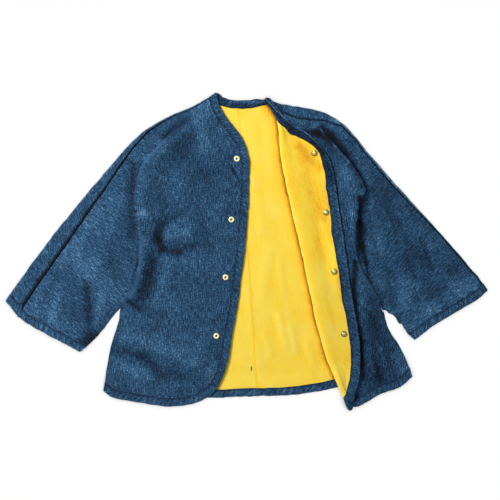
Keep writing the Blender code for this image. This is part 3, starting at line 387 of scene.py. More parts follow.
COLLAR_END = table(
    "x y z",
    (-46.5, 290.6, 4.4), (-47, 284, 4.4), (-47.5, 277, 4.3), (-50.5, 273.8, 4.2),
    (-54.5, 277, 4.2), (-58, 285, 4.2), (-58.6, 293, 4.2), (-57.6, 297.2, 4), (-54.4, 297.4, 4),
    (-50, 294.6, 4.2), (-46.5, 290.6, 4.4),
)
COLLAR_FOLD = table("x y", (-56, 296), (-50, 275))
NECK_RIDGE = table("x y", (36, 288), (52, 267), (65.7, 255.5), (76, 244))

# Places of the snaps, from the neck down.
RING_SNAPS = table("x y", (-18, 173), (-29, 58), (-40, -51), (-57, -163))
CAP_SNAPS = table("x y", (128, 183), (150, 72), (166, -40), (184, -158))

# Creases that only the cloth's face shows, laid over the broad folds.
CREASES_FRONT_R = table(
    "x0 y0 x1 y1 width height",
    (-115, 69, -142, 57, 6, -1.2), (-142, 57, -161, 40, 6, -1.3), (-161, 40, -168, 19, 7, -1.4),
    (-168, 19, -159, 2, 6, -1.4), (-159, 2, -130, -1, 6, -1.4), (-130, -1, -88, 14, 6, -0.9),
    (-142, 25, -107, 31, 11, 3.2), (-200, 71, -189, 65, 8, 3.2), (-191, 130, -199, 73, 10, 2.4),
    (-183, 168, -142, 209, 11, 2.2), (-172, 103, -164, 65, 10, 1.6),
    (-166, 31, -180, -22, 8, -1.3), (-180, -22, -191, -66, 10, -1.4),
    (-191, -66, -208, -100, 8, -1.4), (-142, -22, -168, -95, 12, 2.6),
    (-191, 19, -202, -47, 8, 2.6), (-229, -84, -204, -104, 3.5, 1.6),
    (-227, -93, -204, -114, 4, -1.3), (-208, -102, -180, -123, 5, -1),
    (-180, -123, -130, -127, 6, -0.8), (-183, -106, -136, -112, 6, 1.2),
    (-256, -188, -200, -203, 9, -1.3), (-200, -203, -164, -229, 8, -1.4),
    (-164, -229, -117, -241, 8, -1.2), (-117, -241, -60, -212, 7, -0.8),
    (-244, -216, -183, -247, 10, 2.2), (-225, -167, -134, -193, 14, 2.6),
    (-155, -203, -88, -212, 10, 1.8), (-155, -258, -98, -260, 9, 1.4),
    (-28, 160, -12, 130, 3.2, -1.1), (-35, 164, -20, 133, 3.5, 1.1), (-35, 48, -20, 35, 3, -1),
    (-47, 54, -29, 37, 3.5, 1), (-43, 137, -20, 114, 4, 0.8), (-115, 190, -81, 141, 16, -1.1),
    (-77, 228, -62, 162, 14, 1.6), (-92, 95, -67, 8, 9, -1), (-67, 8, -39, -22, 7, -1),
    (-119, -22, -58, -41, 10, 1.4), (-96, -64, -47, -72, 9, -0.9),
    (-107, -95, -60, -117, 12, 1.4), (-123, -152, -47, -136, 9, -0.9),
    (-115, 247, -155, 215, 8, -1.3), (-90, 263, -77, 190, 12, 2), (-218, 171, -221, 27, 8, -2.2),
    (-301, -64, -297, -136, 8, -2), (-351, -87, -368, -133, 9, 2.4),
    (-269, -91, -284, -148, 8, 2), (-392, -95, -411, -121, 9, 1.8), (-256, 4, -240, -60, 9, -1.6),
    (-326, -41, -343, -76, 8, -1.2), (-324, -117, -335, -155, 7, -1.4),
    (-278, -22, -294, -57, 10, 1.6), (-244, 80, -256, 27, 10, 1.6), (-309, 19, -324, -22, 9, 1.4),
    (-385, -129, -396, -144, 6, -0.9), (-358, -53, -377, -87, 7, -1.2),
)
CREASES_FRONT_L = table(
    "x0 y0 x1 y1 width height",
    (113, 227, 159, 217, 7, -1.4), (159, 217, 181, 196, 7, -1.4), (181, 196, 200, 164, 6, -1),
    (174, 175, 197, 122, 9, 2.2), (149, 240, 187, 217, 8, 1.8), (200, 114, 200, 42, 8, 2.2),
    (187, 103, 193, 27, 5, -1.2), (210, -22, 204, -76, 4.5, -1.3),
    (204, -76, 208, -129, 4.5, -1.3), (219, -72, 229, -152, 5, 2.2),
    (218, -152, 223, -235, 4.5, -1.3), (233, -161, 242, -258, 4.5, 2.4),
    (238, -190, 252, -262, 3.5, -1.3), (254, -180, 269, -254, 4.5, 2.2),
    (227, -231, 237, -266, 3, -1.3), (267, -190, 284, -254, 4, -1.2),
    (290, -212, 299, -247, 8, 1.6), (242, -125, 257, -178, 5, -1.2),
    (231, -95, 246, -125, 5, 1.4), (210, -17, 229, -47, 4, 2), (229, -47, 252, -95, 4, 1.8),
    (219, -57, 238, -98, 4, -1.2), (238, 160, 269, 103, 8, -1.4), (269, 103, 307, 29, 9, -1.8),
    (307, 29, 345, -30, 9, -1.8), (345, -30, 402, -39, 7, -1.6), (292, 88, 349, 0, 10, 2.2),
    (368, -60, 413, -76, 9, 1.8), (246, 76, 261, 0, 10, 1.8), (261, -19, 284, -87, 9, -1.6),
    (292, -38, 311, -106, 10, 2), (322, -95, 360, -117, 8, -1.2), (231, 130, 242, 80, 7, 1.4),
    (280, -95, 299, -144, 6, -1.2), (349, 27, 387, -22, 8, 1.2), (238, -22, 261, -76, 5, 1.6),
)
CREASES_BACK = table(
    "x0 y0 x1 y1 width height",
    (14, 133, 29, 38, 12, 0.9), (41, 0, 29, -95, 12, 0.9), (62, -125, 75, -182, 7, 1.4),
    (48, -129, 60, -193, 6, -1.2), (83, -144, 94, -190, 7, 1.2), (98, -152, 111, -201, 6, -1.1),
    (33, -163, 45, -201, 6, 0.9), (71, -193, 86, -231, 6, -1), (18, -171, 26, -216, 8, 0.9),
    (113, -178, 128, -224, 7, 1.2), (41, 228, 48, 152, 8, 0.8), (75, -38, 86, -95, 7, -0.9),
    (64, -19, 71, -76, 7, 0.8), (29, 270, 48, 244, 6, -0.9), (10, 247, 22, 171, 10, 0.6),
    (3, -68, 10, -152, 9, 0.6), (-12, -216, 29, -231, 8, 0.6),
)
CREASES_FLAP = table(
    "x0 y0 x1 y1 width height",
    (71, 232, 94, 152, 7, 1.6), (94, 206, 113, 171, 6, -1), (86, 122, 105, 50, 7, -0.9),
    (102, 152, 128, 103, 8, 1.4), (121, 103, 140, 35, 8, 1.2), (109, 35, 132, -22, 7, -0.9),
    (136, 19, 155, -34, 6, 1.1), (136, -57, 159, -133, 7, -0.9), (151, -95, 174, -152, 6, 1.2),
    (159, -163, 178, -220, 7, 1.4), (170, -228, 181, -269, 5, -0.9), (113, 187, 136, 160, 5, 1.2),
    (128, 160, 143, 149, 4, -1),
)

# Painted light and shade in soft strokes: painted highlights on ridges and painted shade in
# hollows, beside folds and in the gap between the left body and its sleeve.
PAINTED_SHADING_FRONT_R = table(
    "x0 y0 x1 y1 width height",
    (-197, 69, -197, 69, 7, 0.5), (-415, -95, -354, -136, 30, 0.15),
    (-79, 285, -66, 263, 16, 0.35), (-354, -22, -259, 95, 14, 0.2), (-168, 31, -161, 0, 8, -0.5),
    (-176, -22, -196, -91, 15, -0.55), (-213, 160, -216, 27, 8, -0.4),
    (-115, 246, -155, 215, 7, -0.5), (-115, 190, -81, 141, 30, -0.2),
    (-313, -186, -294, -167, 14, -0.9), (-301, -72, -297, -133, 9, -0.35),
    (-256, -190, -193, -200, 12, -0.22), (-193, -200, -160, -241, 11, -0.25),
    (-160, -241, -90, -244, 12, -0.15), (-236, -216, -190, -240, 12, 0.15),
    (-136, 67, -164, 48, 9, -0.2), (-164, 48, -170, 23, 9, -0.22), (-170, 23, -158, 2, 9, -0.25),
    (-158, 2, -130, -4, 8, -0.3), (-130, -4, -96, 12, 8, -0.25), (-148, 30, -112, 34, 10, 0.12),
    (-225, -95, -202, -114, 5, -0.6), (-240, -117, -256, -178, 10, -0.15),
    (-31, 160, -14, 130, 3, -0.4), (-115, 0, -80, -260, 40, -0.03),
    (-300, -30, -250, -85, 32, 0.2), (-115, -160, -75, -225, 24, 0.16),
)
PAINTED_SHADING_FRONT_L = table(
    "x0 y0 x1 y1 width height",
    (117, 225, 135, 221, 6, -0.9), (135, 221, 158, 206, 6.5, -0.9), (143, 234, 159, 218, 6, -0.8),
    (159, 218, 189, 182, 6.5, -0.8), (189, 182, 212, 145, 6, -0.6), (115, 227, 126, 233, 3, 0.4),
    (126, 233, 139, 239, 3, 0.4), (140, 229, 168, 196, 2.2, 0.9),
    (168, 196, 193, 166, 2.2, 0.7),
    (214, 100, 216, 48, 3.4, -1.1), (217, 48, 218, 8, 6.5, -1.3), (219, 8, 226, -26, 4.2, -1.2),
    (226, -26, 230, -46, 2.2, -1.0), (205, -22, 204, -60, 4, -1.1), (204, -60, 207, -100, 4, -1.0),
    (217, -170, 221, -243, 3.2, -1.2), (208, -100, 216, -170, 2.6, -0.7),
    (238, -133, 254, -256, 26, -0.3), (247, -213, 253, -247, 2.5, -0.6),
    (200, -269, 219, -288, 8, -0.5), (159, 190, 200, 95, 16, -0.2), (187, 76, 197, -19, 10, -0.2),
    (299, -220, 307, -250, 9, 0.2), (425, -64, 349, -114, 22, 0.3), (299, -148, 330, -159, 14, 0.2),
    (231, -49, 256, -98, 3, -0.6), (270, 100, 340, -60, 60, -0.15),
    (216, -28, 252, -92, 3.5, 0.35), (300, -60, 330, -130, 26, 0.2),
    (230, -100, 255, -260, 34, -0.2), (187, 150, 196, 70, 14, 0.25),
    (140, 222, 175, 180, 16, -0.16), (250, 30, 262, -60, 5, 0.25), (288, 70, 320, 10, 5, 0.25),
    (330, 20, 352, -30, 4, -0.3), (262, 90, 284, 30, 4, -0.3), (350, -20, 392, -62, 5, 0.22),
    (300, -10, 322, -60, 4, -0.25), (275, -60, 300, -110, 5, 0.2), (236, 120, 250, 60, 4, -0.25),
    (360, -70, 380, -110, 4, -0.25), (318, -60, 345, -110, 5, 0.2),
)
PAINTED_SHADING_FLAP = table(
    "x0 y0 x1 y1 width height",
    (102, 196, 136, 156, 9, -0.4), (82, 236, 112, 212, 6, -0.3), (120, 110, 146, 60, 8, -0.2),
    (134, 20, 158, -40, 9, -0.2), (150, -96, 176, -150, 8, -0.14), (166, -170, 186, -240, 8, -0.1),
    (176, -60, 184, -100, 5, -0.2), (76, 200, 96, 130, 10, 0.1), (104, 60, 124, 0, 8, 0.1),
    (150, 60, 158, 20, 6, -0.2), (142, -40, 186, -250, 26, 0.2), (80, 220, 150, 60, 22, -0.06),
)
PAINTED_SHADING_NECK = table("x0 y0 x1 y1 width height", (-50, 284, 36, 280, 16, -0.45),
                   (-30, 281, 30, 281, 2.2, 0.7))
PAINTED_SHADING_BINDING_L = table(
    "x0 y0 x1 y1 width height",
    (45, 285, 88, 236, 14, -0.55), (88, 236, 143, 192, 14, -0.55), (143, 192, 165, 140, 12, -0.5),
    (165, 140, 172, 95, 12, -0.25),
)


def smooth(value: np.ndarray | float) -> np.ndarray | float:
    """Ease from 0 to 1."""
    value = np.clip(value, 0.0, 1.0)
    return value * value * (3 - 2 * value)


def bell(away: np.ndarray | float, width: float) -> np.ndarray | float:
    """1 at no distance, falling smoothly to 0 past a width."""
    return np.exp(-(away / width) ** 2)


def plan(rows: Table) -> np.ndarray:
    """The x and y columns of a table as points."""
    return np.column_stack([rows["x"], rows["y"]])


def look_down(tree: BVHTree, x: float, y: float) -> tuple:
    """The first place, normal, face and distance that a search tree has straight below."""
    return tree.ray_cast(Vector((x, y, ABOVE)), DOWN)


def lengths_along(points: np.ndarray, least: float = 0.0) -> np.ndarray:
    """Length along a line up to each of its points, with no step under the least."""
    steps = np.linalg.norm(np.diff(points, axis=0), axis=1)
    return np.concatenate([[0.0], np.cumsum(np.maximum(steps, least))])


def eased(values: np.ndarray, knots: np.ndarray, places: np.ndarray) -> np.ndarray:
    """Smooth curve through rows of values.

    Args:
        values: One row for each knot, of any further shape.
        knots: Rising places of the rows.
        places: Places to read the curve at.

    Returns:
        One row for each place.
    """
    slopes = np.gradient(values, knots, axis=0)
    cell = np.clip(np.searchsorted(knots, places, side="right") - 1, 0, len(knots) - 2)
    span = knots[cell + 1] - knots[cell]
    t = (places - knots[cell]) / span
    t, span = (item.reshape((-1,) + (1,) * (values.ndim - 1)) for item in (t, span))
    return (values[cell] * (2 * t**3 - 3 * t**2 + 1) + values[cell + 1] * (3 * t**2 - 2 * t**3)
            + slopes[cell] * span * (t**3 - 2 * t**2 + t)
            + slopes[cell + 1] * span * (t**3 - t**2))


def sample(values: np.ndarray, fractions: Sequence[float], fineness: int = 24) -> np.ndarray:
    """Smooth line through rows that start with x and y, taken at fractions of its length."""
    values = np.asarray(values, dtype=float)
    knots = lengths_along(values[:, :2], 1e-6)
    places = np.interp(np.linspace(0, len(knots) - 1, fineness * (len(knots) - 1) + 1),
                       np.arange(len(knots)), knots)
    dense = eased(values, knots, places)
    along = lengths_along(dense[:, :2])
    along /= along[-1]
    return np.column_stack([np.interp(fractions, along, column) for column in dense.T])


def even(count: int) -> np.ndarray:
    """Fractions from 0 to 1 for the given number of cells."""
    return np.linspace(0, 1, count + 1)


def directions(line: np.ndarray) -> np.ndarray:
    """Unit directions along a line in plan."""
    along = np.gradient(line[:, :2], axis=0)
    return along / np.linalg.norm(along, axis=1)[:, None]


def coons(top: np.ndarray, bottom: np.ndarray, left: np.ndarray, right: np.ndarray,
          across: np.ndarray | None = None, down: np.ndarray | None = None) -> np.ndarray:
    """Fill the space between four lines with a grid of plan points.

    Args:
        top, bottom: Lines from left to right.
        left, right: Lines from top to bottom.
        across, down: Fractions of the columns and rows, even where left out.

    Returns:
        The grid, in rows from top to bottom.
    """
    left = left.copy()
    right = right.copy()
    left[0], left[-1], right[0], right[-1] = top[0], bottom[0], top[-1], bottom[-1]
    v = (even(len(left) - 1) if down is None else down)[:, None, None]
    u = (even(len(top) - 1) if across is None else across)[None, :, None]
    corners = ((1 - v) * ((1 - u) * top[0] + u * top[-1])
               + v * ((1 - u) * bottom[0] + u * bottom[-1]))
    return ((1 - v) * top[None] + v * bottom[None]
            + (1 - u) * left[:, None] + u * right[:, None] - corners)


def relaxed(grid: np.ndarray, fixed: int) -> np.ndarray:
    """Even out a grid in plan, keeping its borders and its first few columns."""
    grid = grid.copy()
    for _ in range(RELAX_ROUNDS):
        around = (grid[:-2] + grid[2:])[:, 1:-1] + (grid[:, :-2] + grid[:, 2:])[1:-1]
        grid[1:-1, fixed:-1] = around[:, fixed - 1:] / 4
    return grid


def nearest(points: np.ndarray, line: np.ndarray) -> tuple[np.ndarray, np.ndarray]:
    """How far points lie from a line in plan, and how far along it.

    Args:
        points: Plan points in an array of any shape.
        line: The line's points in order.

    Returns:
        The distances from the line and the lengths along it.
    """
    flat = points.reshape(-1, 2)
    best = np.full(len(flat), 1e9)
    along = np.zeros(len(flat))
    passed = 0.0
    for start, end in zip(line[:-1], line[1:]):
        run = end - start
        share = np.clip((flat - start) @ run / max(run @ run, 1e-9), 0, 1)
        away = np.linalg.norm(flat - start - share[:, None] * run, axis=1)
        length = float(np.linalg.norm(run))
        along = np.where(away < best, passed + share * length, along)
        best = np.minimum(best, away)
        passed += length
    return best.reshape(points.shape[:-1]), along.reshape(points.shape[:-1])


def distance(points: np.ndarray, line: np.ndarray) -> np.ndarray:
    """Distance in plan from each point to a line."""
    return nearest(points, line)[0]


def relief(points: np.ndarray, folds: Table) -> np.ndarray:
    """Height added by a table of folds at plan points."""
    height = np.zeros(points.shape[:-1])
    for x0, y0, x1, y1, width, tall in zip(*folds.values()):
        away = distance(points, np.array([[x0, y0], [x1, y1]]))
        height += tall * bell(away, width)
    return height


def rumple(points: np.ndarray, seed: float, size: float) -> np.ndarray:
    """Smooth, seeded unevenness between -1 and 1 at plan points.

    Args:
        points: Plan points in an array of any shape.
        seed: Picks the pattern.
        size: Length over which it rises and falls.

    Returns:
        One value for each point.
    """
    flat = np.nan_to_num(points.reshape(-1, 2)) / size
    values = [noise.noise(Vector((x, y, seed))) for x, y in flat]
    return np.array(values).reshape(points.shape[:-1])


def rumples(points: np.ndarray, seed: float, waves: Iterable[tuple[float, float, float]],
            ) -> np.ndarray:
    """The sum of several rumples.

    Args:
        points: Plan points in an array of any shape.
        seed: Picks the pattern.
        waves: Each one's height, step of the seed and size.

    Returns:
        One value for each point.
    """
    return sum(height * rumple(points, seed + step, size) for height, step, size in waves)


def drawn(points: np.ndarray) -> np.ndarray:
    """Points moved a little in plan, the same way in every layer, as sewn cloth never lies true.

    Args:
        points: Rows of x, y and z.

    Returns:
        The moved points.
    """
    points = np.array(points, dtype=float)
    pull = np.full(len(points), DRAW)
    near = bell(distance(points[:, :2], plan(PUCKERED_SEAM)), DRAW_REACH)
    pull += (DRAW_UNDERARM - DRAW) * near
    for axis, seed in ((0, 51.3), (1, 77.9)):
        points[:, axis] += pull * rumples(points[:, :2], seed, DRAW_WAVES)
    return points


def bound_zone(points: np.ndarray, lines: Iterable[np.ndarray]) -> np.ndarray:
    """1 beside the given bound edges, easing to 0 beyond the binding."""
    zone = np.zeros(points.shape[:-1])
    for line in lines:
        away = distance(points, line) - BOUND_SLACK
        zone = np.maximum(zone, 1 - smooth((away - BOUND_PLATEAU) / (BOUND_REACH - BOUND_PLATEAU)))
    return zone


def lift(points: np.ndarray, heights: np.ndarray) -> np.ndarray:
    """Plan points with their heights."""
    return np.concatenate([points, np.asarray(heights)[..., None]], axis=-1)


def graded(count: int, length: float) -> np.ndarray:
    """Even fractions, but with the last two cells sized for a binding and its lead-in."""
    first = np.linspace(0, 1 - BOUND_REACH / length, count - 1)
    return np.append(first, [1 - BOUND_PLATEAU / length, 1.0])


def nearest_fraction(line: np.ndarray, point: Sequence[float]) -> float:
    """Fraction of a line's length nearest to a point."""
    away = np.linalg.norm(sample(line, even(PLACE_STEPS))[:, :2] - np.asarray(point), axis=1)
    return float(np.argmin(away) / PLACE_STEPS)


class Side(Enum):
    """The wearer's side that a piece belongs to, with the way that its rows run."""

    RIGHT = 1
    LEFT = -1


def top_line(edge: Table, cuff: np.ndarray, fractions: np.ndarray, side: Side, inset: float,
             wrapped: bool) -> np.ndarray:
    """The sleeve's top edge moved inwards.

    Args:
        edge: The edge's table.
        cuff: The cuff's points.
        fractions: Fractions of the edge's length.
        side: The wearer's side.
        inset: How far to move the edge.
        wrapped: Whether to move it by the back panel's wrap too.

    Returns:
        Rows of x, y, wrap and the inward direction.
    """
    shares = even(TOP_STEPS)
    fine = sample(np.column_stack(list(edge.values())), shares)
    way = directions(fine)
    inwards = side.value * np.column_stack([-way[:, 1], way[:, 0]])
    fine_cuff = sample(cuff, even(WAY_STEPS))
    spans = np.linalg.norm(fine_cuff - fine_cuff[0], axis=1)
    towards = fine_cuff[np.argmin(np.abs(spans - fine[-1, 2] - inset))] - fine_cuff[0]
    towards = towards / max(np.linalg.norm(towards), 1e-6)
    turn = smooth((shares - CUFF_BLEND) / (1 - CUFF_BLEND))[:, None]
    inwards = inwards * (1 - turn) + towards * turn
    inwards /= np.linalg.norm(inwards, axis=1)[:, None]
    reach = inset + (fine[:, 2] if wrapped else 0.0)
    moved = fine[:, :2] + inwards * np.broadcast_to(reach, len(fine))[:, None]
    columns = np.column_stack([moved, fine[:, 2], inwards]).T
    return np.column_stack([np.interp(fractions, shares, column) for column in columns])


@dataclass
class Half:
    """Lines and heights for one side of the jacket.

    The seam's groove is seam_width wide. It is only seam_faint as deep down to seam_until from the
    neck, where the cloth of a worn shoulder has flattened it.
    """

    side: Side
    top_edge: Table
    cuff: np.ndarray
    underarm: np.ndarray
    seam: np.ndarray
    hem: np.ndarray
    hem_back: np.ndarray
    neck: np.ndarray
    lining_edge: np.ndarray
    armhole: Table
    folds: Table
    level: float
    bound_raise: float
    columns: int
    shoulder_columns: int
    sleeve_turn: float
    seam_width: float
    seam_faint: float
    seam_until: float

    def __post_init__(self) -> None:
        """Work out the fine lines that the heights are measured from."""
        self.hem_share = nearest_fraction(self.hem_back, self.lining_edge[-1])
        self.fine_cuff = sample(self.cuff, even(LINE_STEPS))
        self.fine_neck = sample(self.neck, even(LINE_STEPS // 3))
        self.fine_hem_back = sample(self.hem_back, even(LINE_STEPS))
        self.fine_hem = sample(self.hem, even(LINE_STEPS))
        start = (self.armhole["x"][0], self.armhole["y"][0])
        turn = nearest_fraction(plan(self.top_edge), start)
        self.stations = np.append(turn * even(self.shoulder_columns)[:-1],
                                  turn + (1 - turn) * graded(SLEEVE_COLUMNS, SLEEVE_LENGTH))
        self.fine_top = top_line(self.top_edge, self.cuff, self.stations, self.side, GAP,
                                 True)[:, :2]

    def back_height(self, points: np.ndarray, on_arm: bool) -> np.ndarray:
        """Reference height of the back at plan points."""
        bound = [self.fine_cuff] if on_arm else [self.fine_hem_back, self.fine_neck]
        return BACK_LEVEL + BOUND_RAISE * bound_zone(points, bound)

    def sleeve_height(self, points: np.ndarray) -> np.ndarray:
        """Reference height of the sleeve's upper cloth at plan points."""
        near_cuff = bound_zone(points, [self.fine_cuff])
        swell = np.maximum(relief(points, self.folds), -1.0)
        swell *= (1 - near_cuff) * smooth(distance(points, self.fine_top) / SETTLE)
        inner = SLEEVE_LEVEL + BOUND_RAISE * near_cuff + swell
        edge = SEAM_LEVEL + CUFF_SEAM_RAISE * near_cuff
        return edge + (inner - edge) * smooth(distance(points, self.underarm) / SETTLE)

    def body_height(self, points: np.ndarray) -> np.ndarray:
        """Reference height of the front at plan points."""
        near_neck = bound_zone(points, [self.fine_neck])
        near_bound = bound_zone(points, [self.fine_neck, self.fine_hem_back, self.fine_hem])
        swell = np.maximum(relief(points, self.folds), -0.3)
        inner = self.level + self.bound_raise * near_bound + swell * (1 - near_bound)
        top = SLEEVE_LEVEL + NECK_RAISE * near_neck
        inner = top + (inner - top) * smooth(distance(points, self.fine_top) / SETTLE)
        edge = SEAM_LEVEL + (self.level + self.bound_raise - SEAM_LEVEL) * near_bound
        return edge + (inner - edge) * smooth(distance(points, self.seam) / SETTLE)

    def sleeve_cloth(self, points: np.ndarray) -> np.ndarray:
        """Where plan points of the sleeve lay in the cloth before it was turned down."""
        turn = math.radians(self.sleeve_turn)
        pivot = np.array([self.armhole["x"][7], self.armhole["y"][7]])
        away = points - pivot
        return pivot + np.stack([math.cos(turn) * away[..., 0] + math.sin(turn) * away[..., 1],
                                 math.cos(turn) * away[..., 1] - math.sin(turn) * away[..., 0]],
                                axis=-1)


def wrap_grid(line: np.ndarray, half: Half, on_arm: bool) -> np.ndarray:
    """The strip of back cloth turned over the top edge, one row for each station."""
    half_turn = math.pi * WRAP_RADIUS
    grid = []
    for x, y, wrap, inward_x, inward_y in line:
        base = half.back_height(np.array([[x, y]]), on_arm)[0]
        total = half_turn + wrap - HALF_GAP - SOLID_SHELL - WRAP_RADIUS
        first = min(total, half_turn)
        ways = np.append(np.linspace(0, first, WRAP_ARC_COLUMNS + 1),
                         np.linspace(first, total, WRAP_FLAT_COLUMNS + 1)[1:])
        if total <= half_turn + WRAP_RADIUS:
            ways = np.linspace(0, total, WRAPS + 1)
        angles = np.minimum(ways / WRAP_RADIUS, math.pi)
        inset = np.maximum(ways - half_turn, 0.0) - WRAP_RADIUS * np.sin(angles)
        grid.append(np.column_stack([x + inward_x * inset, y + inward_y * inset,
                                     base + WRAP_RADIUS * (1 - np.cos(angles))]))
    return np.array(grid)


def tuck_section(tuck: float, drop: float) -> np.ndarray:
    """Points across one row of the fold, outwards and up, from the body down to the sleeve."""
    radius = max(drop / 4, TUCK_RADIUS)
    angle = math.acos(max(1 - drop / (2 * radius), -1.0))
    length = tuck * smooth((drop - 4 * TUCK_RADIUS) / TUCK_EASE)
    turns = angle * even(TUCK_TURN_COLUMNS)
    out = radius * np.sin(turns)
    down = radius * (1 - np.cos(turns))
    across = np.append(out, 2 * out[-1] + length * math.cos(angle) - out[::-1]) - radius
    below = np.append(down, 2 * down[-1] + length * math.sin(angle) - down[::-1])
    share = even(len(across) - 1)
    formed = smooth(drop / (2 * TUCK_RADIUS))
    across = across * formed + TUCK_SPREAD * (share - 0.25) * (1 - formed)
    below = below * formed + drop * smooth(share) * (1 - formed)
    return np.column_stack([across, -below])


def blended(first: np.ndarray, last: np.ndarray, count: int) -> np.ndarray:
    """Columns that run evenly from one column of points to another."""
    share = even(count)[None, :, None]
    return first[:, None] * (1 - share) + last[:, None] * share


class Quilt:
    """Cloth worked out from rows and columns of control points.

    The net holds x, y, z and the place in the flat cloth, with NaN where there is no cloth.
    """

    def __init__(self, net: np.ndarray, side: Side, spacing: float, seam_first: bool) -> None:
        """Fill in fine rows and columns between the control points, and keep all of those.

        Args:
            net: The control points.
            side: The wearer's side, which gives the way that the columns run.
            spacing: Distance between fine rows and columns.
            seam_first: Whether the first row is a seam, which needs closer rows beside it.
        """
        self.side = side
        steps = [np.nanmean(np.linalg.norm(np.diff(net[..., :3], axis=axis), axis=-1), 1 - axis)
                 for axis in (0, 1)]
        (row_knots, rows, self.rows), (knots, columns, self.columns) = (
            self.places(step, spacing) for step in steps)
        if seam_first:
            share = even(self.rows[1]) ** SEAM_GRADING
            rows[:self.rows[1] + 1] = row_knots[1] * share
        half_fine = np.full((len(rows), *net.shape[1:]), np.nan)
        for k in range(net.shape[1]):
            self.fill(half_fine[:, k], net[:, k], row_knots, rows, self.rows)
        self.grid = np.full((len(rows), len(columns), net.shape[2]), np.nan)
        for k in range(len(rows)):
            self.fill(self.grid[k], half_fine[k], knots, columns, self.columns)
        self.column_at = np.interp(np.arange(len(columns)), self.columns,
                                   np.arange(len(self.columns)))
        self.row_at = np.interp(np.arange(len(rows)), self.rows, np.arange(len(self.rows)))
        self.present = ~np.isnan(self.grid[..., 0])
        # Painted light and shade at every grid place, and the painted shade that only the lining
        # takes.
        self.tone = np.zeros(self.present.shape)
        self.shade = np.zeros(self.present.shape)

    @staticmethod
    def places(steps: np.ndarray, spacing: float) -> tuple[np.ndarray, np.ndarray, np.ndarray]:
        """Knots of the control lines, places of the fine lines and the numbers that both share."""
        knots = np.concatenate([[0.0], np.cumsum(np.maximum(steps, 1e-3))])
        counts = np.maximum(np.round(steps / spacing), LEAST_STEPS).astype(int)
        shared = np.concatenate([[0], np.cumsum(counts)])
        return knots, np.interp(np.arange(shared[-1] + 1), shared, knots), shared

    @staticmethod
    def fill(fine: np.ndarray, control: np.ndarray, knots: np.ndarray, places: np.ndarray,
             shared: np.ndarray) -> None:
        """Write a smooth line into a fine one, only as far as its control points reach."""
        have = np.flatnonzero(~np.isnan(control[:, 0]))
        low, high = have[0], have[-1]
        reach = slice(shared[low], shared[high] + 1)
        fine[reach] = eased(control[low:high + 1], knots[low:high + 1], places[reach])

    def cells(self, first: int = 0, span: tuple[int, int] | None = None) -> np.ndarray:
        """Four grid places round each cell of cloth.

        Args:
            first: Control column that the cells start from.
            span: Fine rows that they start from and end before, or every row.

        Returns:
            One row of places for each cell, in the order that faces it outwards.
        """
        rows, columns = np.nonzero(self.present[:-1, :-1] & self.present[1:, :-1]
                                   & self.present[1:, 1:] & self.present[:-1, 1:])
        keep = columns >= self.columns[first]
        if span:
            keep &= (rows >= span[0]) & (rows < span[1])
        rows, columns = rows[keep], columns[keep]
        width = self.present.shape[1]
        corners = np.stack([rows * width + columns, (rows + 1) * width + columns,
                            (rows + 1) * width + columns + 1, rows * width + columns + 1], axis=1)
        return corners[:, ::-1] if self.side is Side.LEFT else corners

    def normals(self) -> np.ndarray:
        """Unit normals at every grid place, shared where places coincide."""
        flat = self.grid[..., :3].reshape(-1, 3)
        corners = flat[self.cells()]
        area = np.cross(corners[:, 2] - corners[:, 0], corners[:, 3] - corners[:, 1])
        _, same = np.unique(np.round(np.nan_to_num(flat), 3), axis=0, return_inverse=True)
        same = same.reshape(-1)
        total = np.zeros((same.max() + 1, 3))
        for k in range(4):
            np.add.at(total, same[self.cells()[:, k]], area)
        total /= np.maximum(np.linalg.norm(total, axis=1), 1e-9)[:, None]
        return total[same].reshape(self.grid.shape[:2] + (3,))

    def tree(self, first: int = 0, offset: float = 0.0) -> BVHTree:
        """Search tree of the cloth from a control column on, moved along its normals."""
        points = np.nan_to_num(self.grid[..., :3] + offset * self.normals()).reshape(-1, 3)
        return BVHTree.FromPolygons(points.tolist(), self.cells(first).tolist())

    def line(self, row: int | None, column: int | None, step: int) -> np.ndarray:
        """Numbers of the grid places along a fine row or column, inwards from an edge."""
        height, width = self.present.shape
        if row is None:
            places = np.arange(height) * width + column
        else:
            places = row * width + np.arange(width)
        return places[self.present.reshape(-1)[places]][::step]

    def path(self, row: int | None, column: int | None, step: int) -> np.ndarray:
        """Numbers of the grid places along a control row or column, inwards from an edge."""
        if row is None:
            return self.line(None, self.columns[column], step)
        return self.line(self.rows[row], None, step)

    def set_back(self, lines: Iterable[np.ndarray]) -> None:
        """Draw the cloth's edge back into its binding, along lines that start at the edge."""
        points = self.grid.reshape(-1, self.grid.shape[2])
        fresh = points.copy()
        for line in lines:
            along = lengths_along(points[line, :3])
            near = along < SETBACK_REACH
            moved = PANEL_SETBACK + along[near] * (1 - PANEL_SETBACK / SETBACK_REACH)
            fresh[line[near]] = np.column_stack([np.interp(moved, along, column)
                                                 for column in points[line].T])
        self.grid = fresh.reshape(self.grid.shape)

    def displace(self, amount: np.ndarray) -> None:
        """Move every place along its normal."""
        self.grid[..., :3] += np.nan_to_num(amount)[..., None] * self.normals()


class EdgePath:
    """A line inwards from a bound edge, with normals that face the cloth's right side."""

    def __init__(self, points: np.ndarray, normals: np.ndarray) -> None:
        """Keep the points and normals in order from the edge."""
        self.points = points
        self.normals = normals

    def at(self, reach: float | np.ndarray) -> tuple[np.ndarray, np.ndarray]:
        """Points and unit normals at distances along the path."""
        along = lengths_along(self.points)
        place = np.stack([np.interp(reach, along, column) for column in self.points.T], -1)
        normal = np.stack([np.interp(reach, along, column) for column in self.normals.T], -1)
        return place, normal / np.linalg.norm(normal, axis=-1, keepdims=True)


